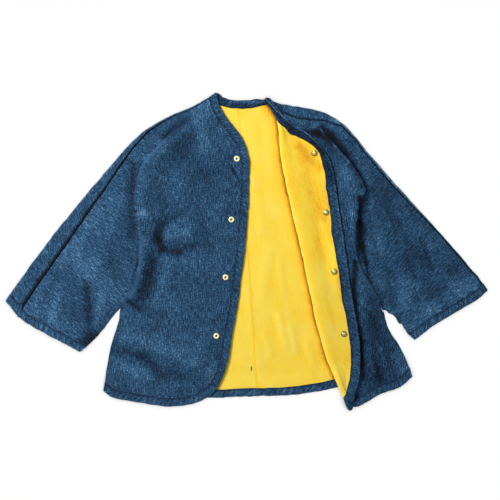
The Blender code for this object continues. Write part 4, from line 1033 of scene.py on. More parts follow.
def traced(quilt: Quilt, paths: Iterable[np.ndarray], sign: int = 1) -> list[EdgePath]:
    """Edge paths that follow lines of a quilt's grid."""
    points = quilt.grid[..., :3].reshape(-1, 3)
    normals = sign * quilt.normals().reshape(-1, 3)
    return [EdgePath(points[path], normals[path]) for path in paths]


def squared(quilt: Quilt, guides: list[np.ndarray], late: Sequence[int] = (), sign: int = 1,
            first: int = 0, clear: float = CORNER_CLEAR) -> list[EdgePath]:
    """Edge paths square to an edge in plan, laid on a quilt.

    Args:
        quilt: The cloth.
        guides: Grid places inwards from each station of the edge. The first and last paths
            follow theirs, so that the strip ends along the panel's own sides.
        late: Stations where the strip is square too and stops short of the panel's corner.
        sign: -1 where the cloth's wrong side is up.
        first: Control column that the cloth is looked for from.
        clear: How far short of the corner a late end stops.

    Returns:
        One path for each station.
    """
    points = quilt.grid[..., :3].reshape(-1, 3)
    edge = points[[guide[0] for guide in guides]]
    tree = quilt.tree(first)
    steps = np.diff(edge[:, :2], axis=0)
    steps /= np.linalg.norm(steps, axis=1)[:, None]
    way = np.vstack([steps[:1], steps[:-1] + steps[1:], steps[-1:]])
    way /= np.linalg.norm(way, axis=1)[:, None]
    inwards = np.column_stack([way[:, 1], -way[:, 0]])
    for end in (0, len(guides) - 1):
        run = points[guides[end][3], :2] - edge[end, :2]
        if end not in late:
            inwards[end] = run / np.linalg.norm(run)
    paths = []
    for start, inward in zip(edge, inwards):
        line = [start]
        normals = []
        for reach in BINDING_WIDTH * np.array(BINDING_STEPS):
            place = start[:2] + inward * reach
            hit, normal = look_down(tree, *place)[:2]
            if hit is None:
                hit, normal = tree.find_nearest(Vector((*place, start[2])))[:2]
            line.append(np.array([*place, hit.z]))
            normals.append(sign * np.array(normal if normal.z > 0 else -normal))
        paths.append(EdgePath(np.array(line), np.array(normals[:1] + normals)))
    for end, inner in ((0, 1), (len(guides) - 1, len(guides) - 2)):
        if end in late:
            run = paths[inner].points[0] - paths[end].points[0]
            paths[end].points += run * clear / np.linalg.norm(run)
    return paths


def back_net(half: Half) -> np.ndarray:
    """Control points of one half of the back, body and sleeve in one piece.

    Args:
        half: The side's lines and heights.

    Returns:
        The net, with the strip turned over the sleeve's top edge as its first rows.
    """
    upper_rows = 1 - graded(BACK_UPPER_ROWS, UPPER_LENGTH)[::-1]
    lower_rows = graded(BACK_LOWER_ROWS, LOWER_LENGTH)
    sleeve_columns = graded(SLEEVE_COLUMNS, SLEEVE_LENGTH)
    split = half.shoulder_columns
    inset = HALF_GAP + SOLID_SHELL + WRAP_RADIUS
    over = top_line(half.top_edge, half.cuff, half.stations, half.side, inset, False)
    over_body, over_arm = over[:split + 1], over[split:]
    armpit = half.underarm[0]
    arm_line = over_arm[0, :2] + (armpit - over_arm[0, :2]) * upper_rows[:, None]
    cuff = sample(half.cuff, upper_rows)
    cuff[0] = over_arm[-1, :2]
    under = sample(half.underarm, sleeve_columns)
    sleeve = coons(over_arm[::-1, :2], under[::-1], cuff, arm_line,
                   1 - sleeve_columns[::-1], upper_rows)
    rows = np.append(upper_rows * UPPER_LENGTH, UPPER_LENGTH + lower_rows[1:] * LOWER_LENGTH)
    rows /= rows[-1]
    neck_point = over_body[0, :2]
    hem_point = sample(half.hem_back, [half.hem_share])[0]
    peak_line = sample(half.lining_edge, rows)
    peak_line[0], peak_line[-1] = neck_point, hem_point
    top, bottom = np.array(CENTRE_TOP, dtype=float), np.array(CENTRE_HEM, dtype=float)
    top[0] -= half.side.value * CENTRE_GAP
    bottom[0] -= half.side.value * CENTRE_GAP
    centre_line = top + (bottom - top) * rows[:, None]
    waist = armpit + (peak_line[BACK_UPPER_ROWS] - armpit) * even(split)[:, None]
    upper = coons(over_body[::-1, :2], waist, arm_line, peak_line[:BACK_UPPER_ROWS + 1],
                  down=upper_rows)
    hem_out = sample(half.hem_back, half.hem_share * even(split))
    lower = coons(waist, hem_out, sample(half.seam, lower_rows), peak_line[BACK_UPPER_ROWS:],
                  down=lower_rows)
    neck = sample(half.neck, even(BACK_NECK_COLUMNS))
    neck[0], neck[-1] = neck_point, top
    hem_in = sample(half.hem_back, np.linspace(half.hem_share, 1, BACK_NECK_COLUMNS + 1))
    hem_in[-1] = bottom
    middle = coons(neck, hem_in, peak_line, centre_line, down=rows)
    body = np.hstack([np.vstack([upper, lower[1:]])[:, :-1], middle])

    net = np.full((WRAPS + len(rows), SLEEVE_COLUMNS + body.shape[1], 5), np.nan)
    net[WRAPS:WRAPS + BACK_UPPER_ROWS + 1, :SLEEVE_COLUMNS + 1, :3] = lift(
        sleeve, half.back_height(sleeve, True))
    net[WRAPS:, SLEEVE_COLUMNS:, :3] = lift(body, half.back_height(body, False))
    wrap_arm = wrap_grid(over_arm, half, True)[::-1]
    wrap_body = wrap_grid(over_body, half, False)[::-1]
    net[:WRAPS + 1, :SLEEVE_COLUMNS + 1, :3] = wrap_arm[:, ::-1].transpose(1, 0, 2)
    net[:WRAPS, SLEEVE_COLUMNS:SLEEVE_COLUMNS + split + 1, :3] = (
        wrap_body[:, :0:-1].transpose(1, 0, 2))
    net[..., 3:] = net[..., :2]
    net[:, :SLEEVE_COLUMNS - 1, 3:] = half.sleeve_cloth(net[:, :SLEEVE_COLUMNS - 1, :2])
    folded = net[:WRAPS, :, :3]
    base = net[WRAPS, :, 3:]
    for row in range(WRAPS - 1, -1, -1):
        step = np.linalg.norm(np.diff(net[row:row + 2, :, :3], axis=0)[0], axis=-1)
        way = base - net[WRAPS + 1, :, 3:]
        way /= np.linalg.norm(way, axis=-1, keepdims=True)
        net[row, :, 3:] = net[row + 1, :, 3:] + way * step[:, None]
    net[:WRAPS, :, 3:][np.isnan(folded[..., 0])] = np.nan
    return net


def front_net(half: Half, inner_line: np.ndarray) -> np.ndarray:
    """Control points of one front, body and sleeve in one piece.

    Args:
        half: The side's lines and heights.
        inner_line: Where the front ends towards the jacket's middle, one point for each row.

    Returns:
        The net, with columns from the cuff through the fold at the armhole to the inner line.
    """
    side = half.side.value
    upper_rows = even(UPPER_ROWS)
    lower_rows = graded(LOWER_ROWS, LOWER_LENGTH)
    sleeve_columns = graded(SLEEVE_COLUMNS, SLEEVE_LENGTH)
    arm = sample(np.column_stack(list(half.armhole.values())), upper_rows)
    way = directions(arm)
    out = side * np.column_stack([way[:, 1], -way[:, 0]])
    sections = np.array([tuck_section(tuck, drop) for tuck, drop in arm[:, 2:]])
    across, below = sections[..., 0], sections[..., 1]
    across[-1] = 0.0
    folded = arm[:, None, :2] + across[..., None] * out[:, None]
    split = half.shoulder_columns
    seam_top = half.fine_top
    neckward = seam_top[split - 1] - seam_top[split]
    start = (across[0, -1] - across[0]) / np.linalg.norm(neckward)
    folded[0] = seam_top[split] + neckward * start[:, None]
    body_line, sleeve_line = folded[:, 0], folded[:, -1]
    shares = np.append(split - start[0], np.linspace(split - 1, 0, half.columns))
    top = np.column_stack([np.interp(shares, np.arange(split + 1), column)
                           for column in seam_top[:split + 1].T])
    if half.side is Side.RIGHT:
        inner_line[0] = seam_top[0]
    inner_upper = inner_line[:UPPER_ROWS + 1]
    inner_lower = inner_line[UPPER_ROWS:]
    top[0] = body_line[0]
    top[-1] = inner_upper[0]
    between = even(half.columns)[:, None]
    waist = body_line[-1] + (inner_upper[-1] - body_line[-1]) * between
    upper = coons(top, waist, body_line, inner_upper)
    seam = sample(half.seam, lower_rows)
    seam[0] = body_line[-1]
    hem = sample(half.hem, even(half.columns))
    hem[-1] = inner_lower[-1]
    lower = coons(waist, hem, seam, inner_lower, down=lower_rows)
    over_arm = seam_top[split:]
    from_seam = nearest_fraction(half.cuff, over_arm[-1])
    cuff = sample(half.cuff, from_seam + (1 - from_seam) * upper_rows)
    cuff[0] = over_arm[-1]
    under = sample(half.underarm, sleeve_columns)
    under[0] = sleeve_line[-1]
    sleeve = coons(over_arm[::-1], under[::-1], cuff, sleeve_line,
                   1 - sleeve_columns[::-1], upper_rows)
    sleeve = relaxed(sleeve, 3)
    upper_height = half.body_height(upper)
    sleeve_height = half.sleeve_height(sleeve)
    rise = sleeve_height[:, -1] - below[:, -1] - upper_height[:, 0]
    upper_height += rise[:, None] * (1 - smooth(distance(upper, body_line) / RISE_REACH))
    folded_height = sleeve_height[:, -1:] - below[:, -1:] + below
    lower_height = half.body_height(lower)
    lower_height[0] = upper_height[-1]

    tucks = across.shape[1] - 1
    net = np.full((UPPER_ROWS + LOWER_ROWS + 1, SLEEVE_COLUMNS + tucks + half.columns + 1, 5),
                  np.nan)
    high = slice(0, UPPER_ROWS + 1)
    body = slice(SLEEVE_COLUMNS + tucks, None)
    net[high, :SLEEVE_COLUMNS + 1, :3] = lift(sleeve, sleeve_height)
    net[high, SLEEVE_COLUMNS:SLEEVE_COLUMNS + tucks + 1, :3] = lift(folded,
                                                                    folded_height)[:, ::-1]
    net[:, body, :3] = np.vstack([lift(upper, upper_height), lift(lower, lower_height)[1:]])
    net[..., 3:] = net[..., :2]
    net[high, :SLEEVE_COLUMNS + 1, 3:] = half.sleeve_cloth(sleeve)
    net[high, SLEEVE_COLUMNS:SLEEVE_COLUMNS + tucks + 1, 3:] = blended(
        net[high, SLEEVE_COLUMNS, 3:], net[high, SLEEVE_COLUMNS + tucks, 3:], tucks)
    return net


def rows_along(line: Table, armpit: tuple[float, float]) -> np.ndarray:
    """Fractions down a line for each row of a front, with the armpit row in its place."""
    split = nearest_fraction(plan(line), armpit)
    lower = split + (1 - split) * graded(LOWER_ROWS, LOWER_LENGTH)
    return np.append(np.linspace(0, split, UPPER_ROWS + 1), lower[1:])


class Flap:
    """The left front's roll and the flap that it folds open."""

    def __init__(self) -> None:
        """Place the roll and the free edge row by row."""
        rows = self.rows = rows_along(ROLL, ARMPIT_LEVEL_L)
        self.line = sample(plan(ROLL), rows)
        self.free = sample(plan(FREE_EDGE), rows)
        way = directions(sample(plan(ROLL), even(WAY_STEPS)))
        way = np.column_stack([np.interp(rows, even(WAY_STEPS), column) for column in way.T])
        self.towards = np.column_stack([-way[:, 1], way[:, 0]])
        width = np.linalg.norm(self.free - self.line, axis=1)
        self.radius = np.clip(ROLL_SHARE * width, ROLL_RADIUS_END, ROLL_RADIUS)
        self.tangent = self.line + self.towards * self.radius[:, None]

    def net(self, half: Half, front: np.ndarray) -> np.ndarray:
        """Continue a front's net round the roll and back to the free edge.

        Args:
            half: The side's lines and heights.
            front: The front's net.

        Returns:
            The longer net.
        """
        tree = Quilt(front, half.side, ROUGH_SPACING, False).tree(BODY_COLUMN)
        base = front[:, -1, 2]
        angles = math.pi * even(ROLL_COLUMNS)
        inset = self.radius[:, None] * np.sin(angles)[None]
        roll = self.tangent[:, None] - self.towards[:, None] * inset[..., None]
        roll_height = base[:, None] + self.radius[:, None] * (1 - np.cos(angles))[None]
        reach = np.linalg.norm(self.free - self.tangent, axis=1)
        bound = np.minimum(np.interp(self.rows, *FLAP_BINDING.values()) + FLAP_BINDING_CLEAR,
                           FLAP_BOUND_SHARE * reach)
        shares = np.column_stack([even(FLAP_COLUMNS - 1)[None] * (1 - bound / reach)[:, None],
                                  np.ones(len(reach))])
        laid = self.tangent[:, None] + (self.free - self.tangent)[:, None] * shares[..., None]
        below = np.empty(laid.shape[:2])
        for place in np.ndindex(below.shape):
            hit = look_down(tree, *laid[place])[0]
            below[place] = hit.z if hit else half.body_height(laid[place][None])[0]
        hem_zone = bound_zone(laid, [half.fine_hem])
        rest = below + FLAP_REST + BOUND_RAISE * hem_zone
        start = base + 2 * self.radius
        level = shares / shares[:, -2:-1]
        ease = smooth(level)
        height = start[:, None] * (1 - ease) + rest * ease
        height += FLAP_SWELL * relief(laid, FOLDS_FLAP) * np.sin(math.pi * np.minimum(level, 1.0))
        height = np.maximum(height, start[:, None] - FLAP_SLOPE * reach[:, None])
        height = np.maximum(height, below + FLAP_REST)
        height[:, 0] = start
        height[:, -2:] = height[:, -2:].max(axis=1)[:, None]
        turned = np.concatenate([lift(roll, roll_height), lift(laid, height)[:, 1:]], axis=1)
        steps = np.linalg.norm(np.diff(turned, axis=1), axis=-1)
        along = front[:, -1, 3][:, None] - np.cumsum(steps, axis=1)
        cloth = np.stack([along, np.broadcast_to(front[:, -1, 4][:, None], along.shape)], axis=-1)
        return np.concatenate([front, np.concatenate([turned[:, 1:], cloth], axis=-1)], axis=1)

    def binding_widths(self, paths: list[EdgePath]) -> list[float]:
        """Width of the flap's binding at each row, as far as the line where the lining starts."""
        line = sample(plan(FLAP_LINE), even(WAY_STEPS))
        reaches = np.arange(FLAP_BINDING_LEAST, FLAP_BINDING_MOST, WIDTH_STEP)
        return [float(reaches[np.argmin(distance(path.at(reaches)[0][:, :2], line))])
                for path in paths]


def srgb(code: str) -> tuple[float, float, float, float]:
    """A hex colour as linear red, green, blue and a full alpha."""
    parts = [int(code[k:k + 2], 16) / 255 for k in (0, 2, 4)]
    line = [part / 12.92 if part <= 0.04045 else ((part + 0.055) / 1.055) ** 2.4 for part in parts]
    return (*line, 1.0)


def add(tree: bpy.types.NodeTree, kind: str, inputs: dict | None = None,
        **settings: object) -> bpy.types.Node:
    """Add a node with its settings and links.

    Args:
        tree: The tree that gets the node.
        kind: The node's type.
        inputs: Values or sockets for its inputs, by name or number.
        settings: The node's own settings.

    Returns:
        The node.
    """
    made = tree.nodes.new(kind)
    for name, value in settings.items():
        setattr(made, name, value)
    for key, value in (inputs or {}).items():
        if isinstance(value, bpy.types.NodeSocket):
            tree.links.new(value, made.inputs[key])
        else:
            made.inputs[key].default_value = value
    return made


def blank(name: str) -> tuple[bpy.types.Material, bpy.types.NodeTree, bpy.types.Node]:
    """A material, its emptied node tree and its shader."""
    made = bpy.data.materials.new(name)
    made.use_nodes = True
    tree = made.node_tree
    tree.nodes.clear()
    shader = add(tree, "ShaderNodeBsdfPrincipled")
    add(tree, "ShaderNodeOutputMaterial", {"Surface": shader.outputs["BSDF"]})
    return made, tree, shader


def pattern(tree: bpy.types.NodeTree, vector: bpy.types.NodeSocket, size: Pair,
            detail: float, roughness: float = 0.6) -> bpy.types.NodeSocket:
    """Noise whose patches have the given width and length in millimetres."""
    scaled = add(tree, "ShaderNodeMapping", {
        "Vector": vector, "Scale": (1 / (size[0] * MM), 1 / (size[1] * MM), 1.0)})
    made = add(tree, "ShaderNodeTexNoise", {
        "Vector": scaled.outputs["Vector"], "Scale": 1.0, "Detail": detail,
        "Roughness": roughness}, noise_dimensions="2D")
    return made.outputs[0]


def weighted(tree: bpy.types.NodeTree, parts: Iterable[tuple[bpy.types.NodeSocket, float]],
             base: float) -> bpy.types.NodeSocket:
    """The sum of a base and sockets times their weights."""
    total: bpy.types.NodeSocket | float = base
    for socket, weight in parts:
        step = add(tree, "ShaderNodeMath", {0: socket, 1: weight, 2: total},
                   operation="MULTIPLY_ADD")
        total = step.outputs[0]
    return total


def ramp(tree: bpy.types.NodeTree, value: bpy.types.NodeSocket,
         stops: Sequence[tuple[float, str]]) -> bpy.types.NodeSocket:
    """Colours along a value."""
    made = add(tree, "ShaderNodeValToRGB", {"Fac": value})
    elements = made.color_ramp.elements
    while len(elements) < len(stops):
        elements.new(0.5)
    for element, (place, code) in zip(elements, stops):
        element.position = place
        element.color = srgb(code)
    return made.outputs["Color"]


def finished(material: bpy.types.Material, shader: bpy.types.Node,
             values: dict[str, object]) -> bpy.types.Material:
    """A material whose shader gets plain values and sockets by the names of its inputs."""
    for name, value in values.items():
        if isinstance(value, bpy.types.NodeSocket):
            material.node_tree.links.new(value, shader.inputs[name])
        else:
            shader.inputs[name].default_value = value
    return material


def painted_shading_of(tree: bpy.types.NodeTree) -> bpy.types.NodeSocket:
    """The painted light and shade that each point carries."""
    return add(tree, "ShaderNodeAttribute", attribute_name="tone").outputs["Fac"]


def place_of(tree: bpy.types.NodeTree) -> bpy.types.NodeSocket:
    """Each point's place on the object."""
    return add(tree, "ShaderNodeTexCoord").outputs["Object"]


def woven(tree: bpy.types.NodeTree) -> bpy.types.NodeSocket:
    """Each point's place in the flat cloth."""
    return add(tree, "ShaderNodeUVMap", uv_map="cloth").outputs["UV"]


def bumped(tree: bpy.types.NodeTree, height: bpy.types.NodeSocket, strength: float,
           depth: float) -> bpy.types.NodeSocket:
    """The normal of a height that is worked a given depth into the surface, in millimetres."""
    bump = add(tree, "ShaderNodeBump", {"Strength": strength, "Distance": depth * MM,
                                        "Height": height})
    return bump.outputs["Normal"]


@dataclass(frozen=True)
class Denim:
    """Mid-blue chambray denim, yarn-dyed with slubs, washed soft.

    Light warp streaks about 2 mm wide run along the grain over a darker ground. The real yarns
    are under 0.5 mm, so they are drawn as coarse as one dot of the render. The weights belong to
    warp, weft, grain, cloud and painted shading, in that order. The ramp's darkest stops give the
    painted shadows, down to near black in the gap between the left body and its sleeve.
    """

    name: str = "Washed slub denim"
    stops: tuple[tuple[float, str], ...] = (
        (0.0, "010309"), (0.2, "051323"), (0.42, "102e48"), (0.58, "20425f"), (0.76, "375c7c"),
        (1.0, "6b8fac"))
    warp: Pair = (1.7, 13.0)
    weft: Pair = (6.0, 1.9)
    grain: Pair = (2.0, 2.6)
    cloud: Pair = (38.0, 60.0)
    colour_weights: tuple[float, ...] = (1.05, 0.45, 0.68, 0.25, 0.4)
    colour_base: float = -0.714
    yarn_weights: tuple[float, ...] = (0.5, 0.35, 0.5)
    roughness: float = 0.86
    bump: float = 0.28
    depth: float = 0.4

    def make(self) -> bpy.types.Material:
        """Build the material."""
        made, tree, shader = blank(self.name)
        cloth, tone = woven(tree), painted_shading_of(tree)
        warp = pattern(tree, cloth, self.warp, 3.0, 0.65)
        weft = pattern(tree, cloth, self.weft, 2.0)
        grain = pattern(tree, cloth, self.grain, 1.0)
        cloud = pattern(tree, cloth, self.cloud, 3.0)
        value = weighted(tree, zip((warp, weft, grain, cloud, tone), self.colour_weights),
                         self.colour_base)
        yarn = weighted(tree, zip((warp, weft, grain), self.yarn_weights), 0.0)
        return finished(made, shader, {
            "Base Color": ramp(tree, value, self.stops),
            "Normal": bumped(tree, yarn, self.bump, self.depth),
            "Roughness": self.roughness, "Specular IOR Level": 0.15,
            "Sheen Weight": 0.03, "Sheen Roughness": 0.5})


@dataclass(frozen=True)
class BrushedCotton:
    """Bright yellow cotton, brushed to a short matt nap, a little soiled in one place.

    The weights belong to nap, weave, cloud and painted shading, in that order. The ramp's orange
    and brown lower stops give the painted shade, as under the roll.
    """

    name: str = "Brushed yellow cotton"
    stops: tuple[tuple[float, str], ...] = (
        (0.0, "70460e"), (0.22, "bd801a"), (0.4, "dfa51f"), (0.5, "ebb92c"), (0.6, "eac03c"),
        (0.7, "e8c34e"), (0.85, "f4d058"), (1.0, "ffde6c"))
    nap: Pair = (1.6, 2.4)
    weave: Pair = (3.0, 18.0)
    cloud: Pair = (34.0, 46.0)
    colour_weights: tuple[float, ...] = (0.35, 0.2, 0.24, 0.5)
    colour_base: float = 0.18
    fuzz_weights: tuple[float, ...] = (0.7, 0.3)
    stain: Pair = (9.5, -224.5)
    stain_size: Pair = (1.9, 5.4)
    stain_colour: str = "6b4010"
    roughness: float = 0.95
    bump: float = 0.25
    depth: float = 0.5
    glow: Sequence[float] = (1.0, 0.45, 0.08)
    glow_reach: float = 5.0

    def make(self) -> bpy.types.Material:
        """Build the material."""
        made, tree, shader = blank(self.name)
        place, cloth, tone = place_of(tree), woven(tree), painted_shading_of(tree)
        nap, weave, cloud = (pattern(tree, cloth, size, 2.0)
                             for size in (self.nap, self.weave, self.cloud))
        value = weighted(tree, zip((nap, weave, cloud, tone), self.colour_weights),
                         self.colour_base)
        colour = ramp(tree, value, self.stops)
        fuzz = weighted(tree, zip((nap, weave), self.fuzz_weights), 0.0)
        return finished(made, shader, {
            "Base Color": self.soiled(tree, place, colour),
            "Normal": bumped(tree, fuzz, self.bump, self.depth),
            "Roughness": self.roughness, "Specular IOR Level": 0.15,
            "Sheen Weight": 0.1, "Sheen Roughness": 0.6,
            "Subsurface Weight": 0.35, "Subsurface Radius": self.glow,
            "Subsurface Scale": self.glow_reach * MM})

    def soiled(self, tree: bpy.types.NodeTree, place: bpy.types.NodeSocket,
               colour: bpy.types.NodeSocket) -> bpy.types.NodeSocket:
        """The cloth's colour with the stain laid over it."""
        (x, y), (wide, tall) = self.stain, self.stain_size
        centred = add(tree, "ShaderNodeMapping", {
            "Vector": place, "Location": (-x / wide, -y / tall, 0.0),
            "Scale": (1 / (wide * MM), 1 / (tall * MM), 0.0)})
        length = add(tree, "ShaderNodeVectorMath", {0: centred.outputs["Vector"]},
                     operation="LENGTH").outputs["Value"]
        spot = add(tree, "ShaderNodeMapRange", {
            "Value": length, "From Min": 0.5, "From Max": 1.2, "To Min": 0.9, "To Max": 0.0})
        mixed = add(tree, "ShaderNodeMix", {0: spot.outputs["Result"], 6: colour,
                                            7: srgb(self.stain_colour)}, data_type="RGBA")
        return mixed.outputs[2]


@dataclass(frozen=True)
class Brass:
    """Pressed brass, tumbled smooth, with fine wear, painted shade in its hollows and painted light
    on its tops.
    """

    name: str
    bright: str
    dull: str
    metallic: float
    roughness: float
    wear: Pair = (1.2, 1.2)

    def make(self) -> bpy.types.Material:
        """Build the material."""
        made, tree, shader = blank(self.name)
        wear = pattern(tree, place_of(tree), self.wear, 3.0)
        value = weighted(tree, ((wear, 0.9), (painted_shading_of(tree), 1.0)), 0.15)
        return finished(made, shader, {
            "Base Color": ramp(tree, value, ((0.0, "16120a"), (0.3, self.dull),
                                             (0.75, self.bright))),
            "Roughness": weighted(tree, ((wear, 0.25),), self.roughness - 0.12),
            "Metallic": self.metallic})


@dataclass(frozen=True)
class Thread:
    """Spun polyester sewing thread, matt, a shade darker than the denim that it sinks into."""

    name: str = "Navy thread"
    dark: str = "0c1c2c"
    light: str = "1b3550"
    twist: Pair = (1.5, 1.5)

    def make(self) -> bpy.types.Material:
        """Build the material."""
        made, tree, shader = blank(self.name)
        value = pattern(tree, place_of(tree), self.twist, 1.0)
        return finished(made, shader, {
            "Base Color": ramp(tree, value, ((0.3, self.dark), (0.7, self.light))),
            "Roughness": 0.7})


@dataclass(frozen=True)
class StudioFloor:
    """Seamless white paper sweep, matt, with a barely visible tooth."""

    name: str = "White paper"
    tooth: Pair = (4.0, 4.0)

    def make(self) -> bpy.types.Material:
        """Build the material."""
        made, tree, shader = blank(self.name)
        value = pattern(tree, place_of(tree), self.tooth, 1.0)
        return finished(made, shader, {
            "Base Color": ramp(tree, value, ((0.3, "f6f6f5"), (0.7, "f8f8f7"))),
            "Roughness": 0.95, "Specular IOR Level": 0.1})


class Finishes:
    """Every material of the jacket, made once."""

    def __init__(self) -> None:
        """Make the materials."""
        self.denim = Denim().make()
        self.cotton = BrushedCotton().make()
        self.ring = Brass("Pale brass", "efe6ac", "b5a24e", 0.45, 0.4).make()
        self.cap = Brass("Aged brass", "d6cb80", "5f561f", 0.6, 0.26).make()
        self.navy = Thread().make()


def shown(name: str, data: bpy.types.ID) -> bpy.types.Object:
    """An object with the given data, linked to the scene."""
    result = bpy.data.objects.new(name, data)
    bpy.context.scene.collection.objects.link(result)
    return result


def mesh_object(name: str, points: np.ndarray, faces: list, material: bpy.types.Material,
                cloth: np.ndarray | None = None, tone: np.ndarray | None = None,
                ) -> bpy.types.Object:
    """A smooth-shaded object from points in millimetres.

    Args:
        name: The piece's name.
        points: Its points.
        faces: Its faces, as numbers of points.
        material: Its finish.
        cloth: Each point's place in the flat cloth, in millimetres.
        tone: Each point's painted light above 0 and painted shade below 0, 0 where it is plain.

    Returns:
        The object, linked to the scene.
    """
    mesh = bpy.data.meshes.new(name)
    mesh.from_pydata((np.asarray(points) * MM).tolist(), [], faces)
    mesh.materials.append(material)
    mesh.shade_smooth()
    mesh.set_sharp_from_angle(angle=SHARP_ANGLE)
    if cloth is not None:
        corners = np.zeros(len(mesh.loops), dtype=np.int32)
        mesh.loops.foreach_get("vertex_index", corners)
        layer = mesh.uv_layers.new(name="cloth")
        layer.data.foreach_set("uv", (np.asarray(cloth)[corners] * MM).astype(np.float32).ravel())
    shades = np.zeros(len(mesh.vertices)) if tone is None else np.asarray(tone)
    layer = mesh.attributes.new("tone", "FLOAT", "POINT")
    layer.data.foreach_set("value", shades.astype(np.float32))
    mesh.update()
    return shown(name, mesh)


@dataclass
class Panel:
    """One layer of cloth laid on a quilt.

    It starts from a control column and covers some fine rows or all. The flat size is in metres.
    """

    name: str
    quilt: Quilt
    span: Pair
    finish: bpy.types.Material
    slot: str
    flat: Pair
    area: float
    rests_on: tuple[str, ...] = ()
    first: int = 0
    rows: tuple[int, int] | None = None

    def build(self) -> bpy.types.Object:
        """Make the closed wall between the two offsets of the quilt's surface."""
        normals = self.quilt.normals().reshape(-1, 3)
        points = self.quilt.grid[..., :3].reshape(-1, 3)
        cells = self.quilt.cells(self.first, self.rows)
        used = np.unique(cells)
        _, first_of, same = np.unique(np.round(points[used], 3), axis=0, return_index=True,
                                      return_inverse=True)
        low = np.zeros(len(points), dtype=int)
        low[used] = same.reshape(-1)
        kept = used[first_of]
        count = len(kept)
        shape = np.vstack([points[kept] + self.span[0] * normals[kept],
                           points[kept] + self.span[1] * normals[kept]])
        cloth = self.quilt.grid[..., 3:].reshape(-1, 2)[kept]
        # The quilt's painted light and shade, with the lining's painted shade added on the cotton
        # only.
        tone = self.quilt.tone + self.quilt.shade * (self.slot == "brushed_cotton")
        tone = tone.reshape(-1)[kept]
        faces, edges = [], set()
        for corners in low[cells].tolist():
            corners = list(dict.fromkeys(corners))
            if len(corners) < 3:
                continue
            faces.append([number + count for number in corners])
            faces.append(corners[::-1])
            edges.update(zip(corners, corners[1:] + corners[:1]))
        for start, end in edges:
            if (end, start) not in edges:
                faces.append([end + count, start + count, start, end])
        return mesh_object(self.name, drawn(shape), faces, self.finish,
                           np.vstack([cloth, cloth]), np.concatenate([tone, tone]))


def on_bias(along: np.ndarray, across: np.ndarray) -> np.ndarray:
    """Places in the flat cloth of tape that is cut at 45 degrees to the grain."""
    return np.stack([along + across, along - across], -1) * math.sqrt(0.5)


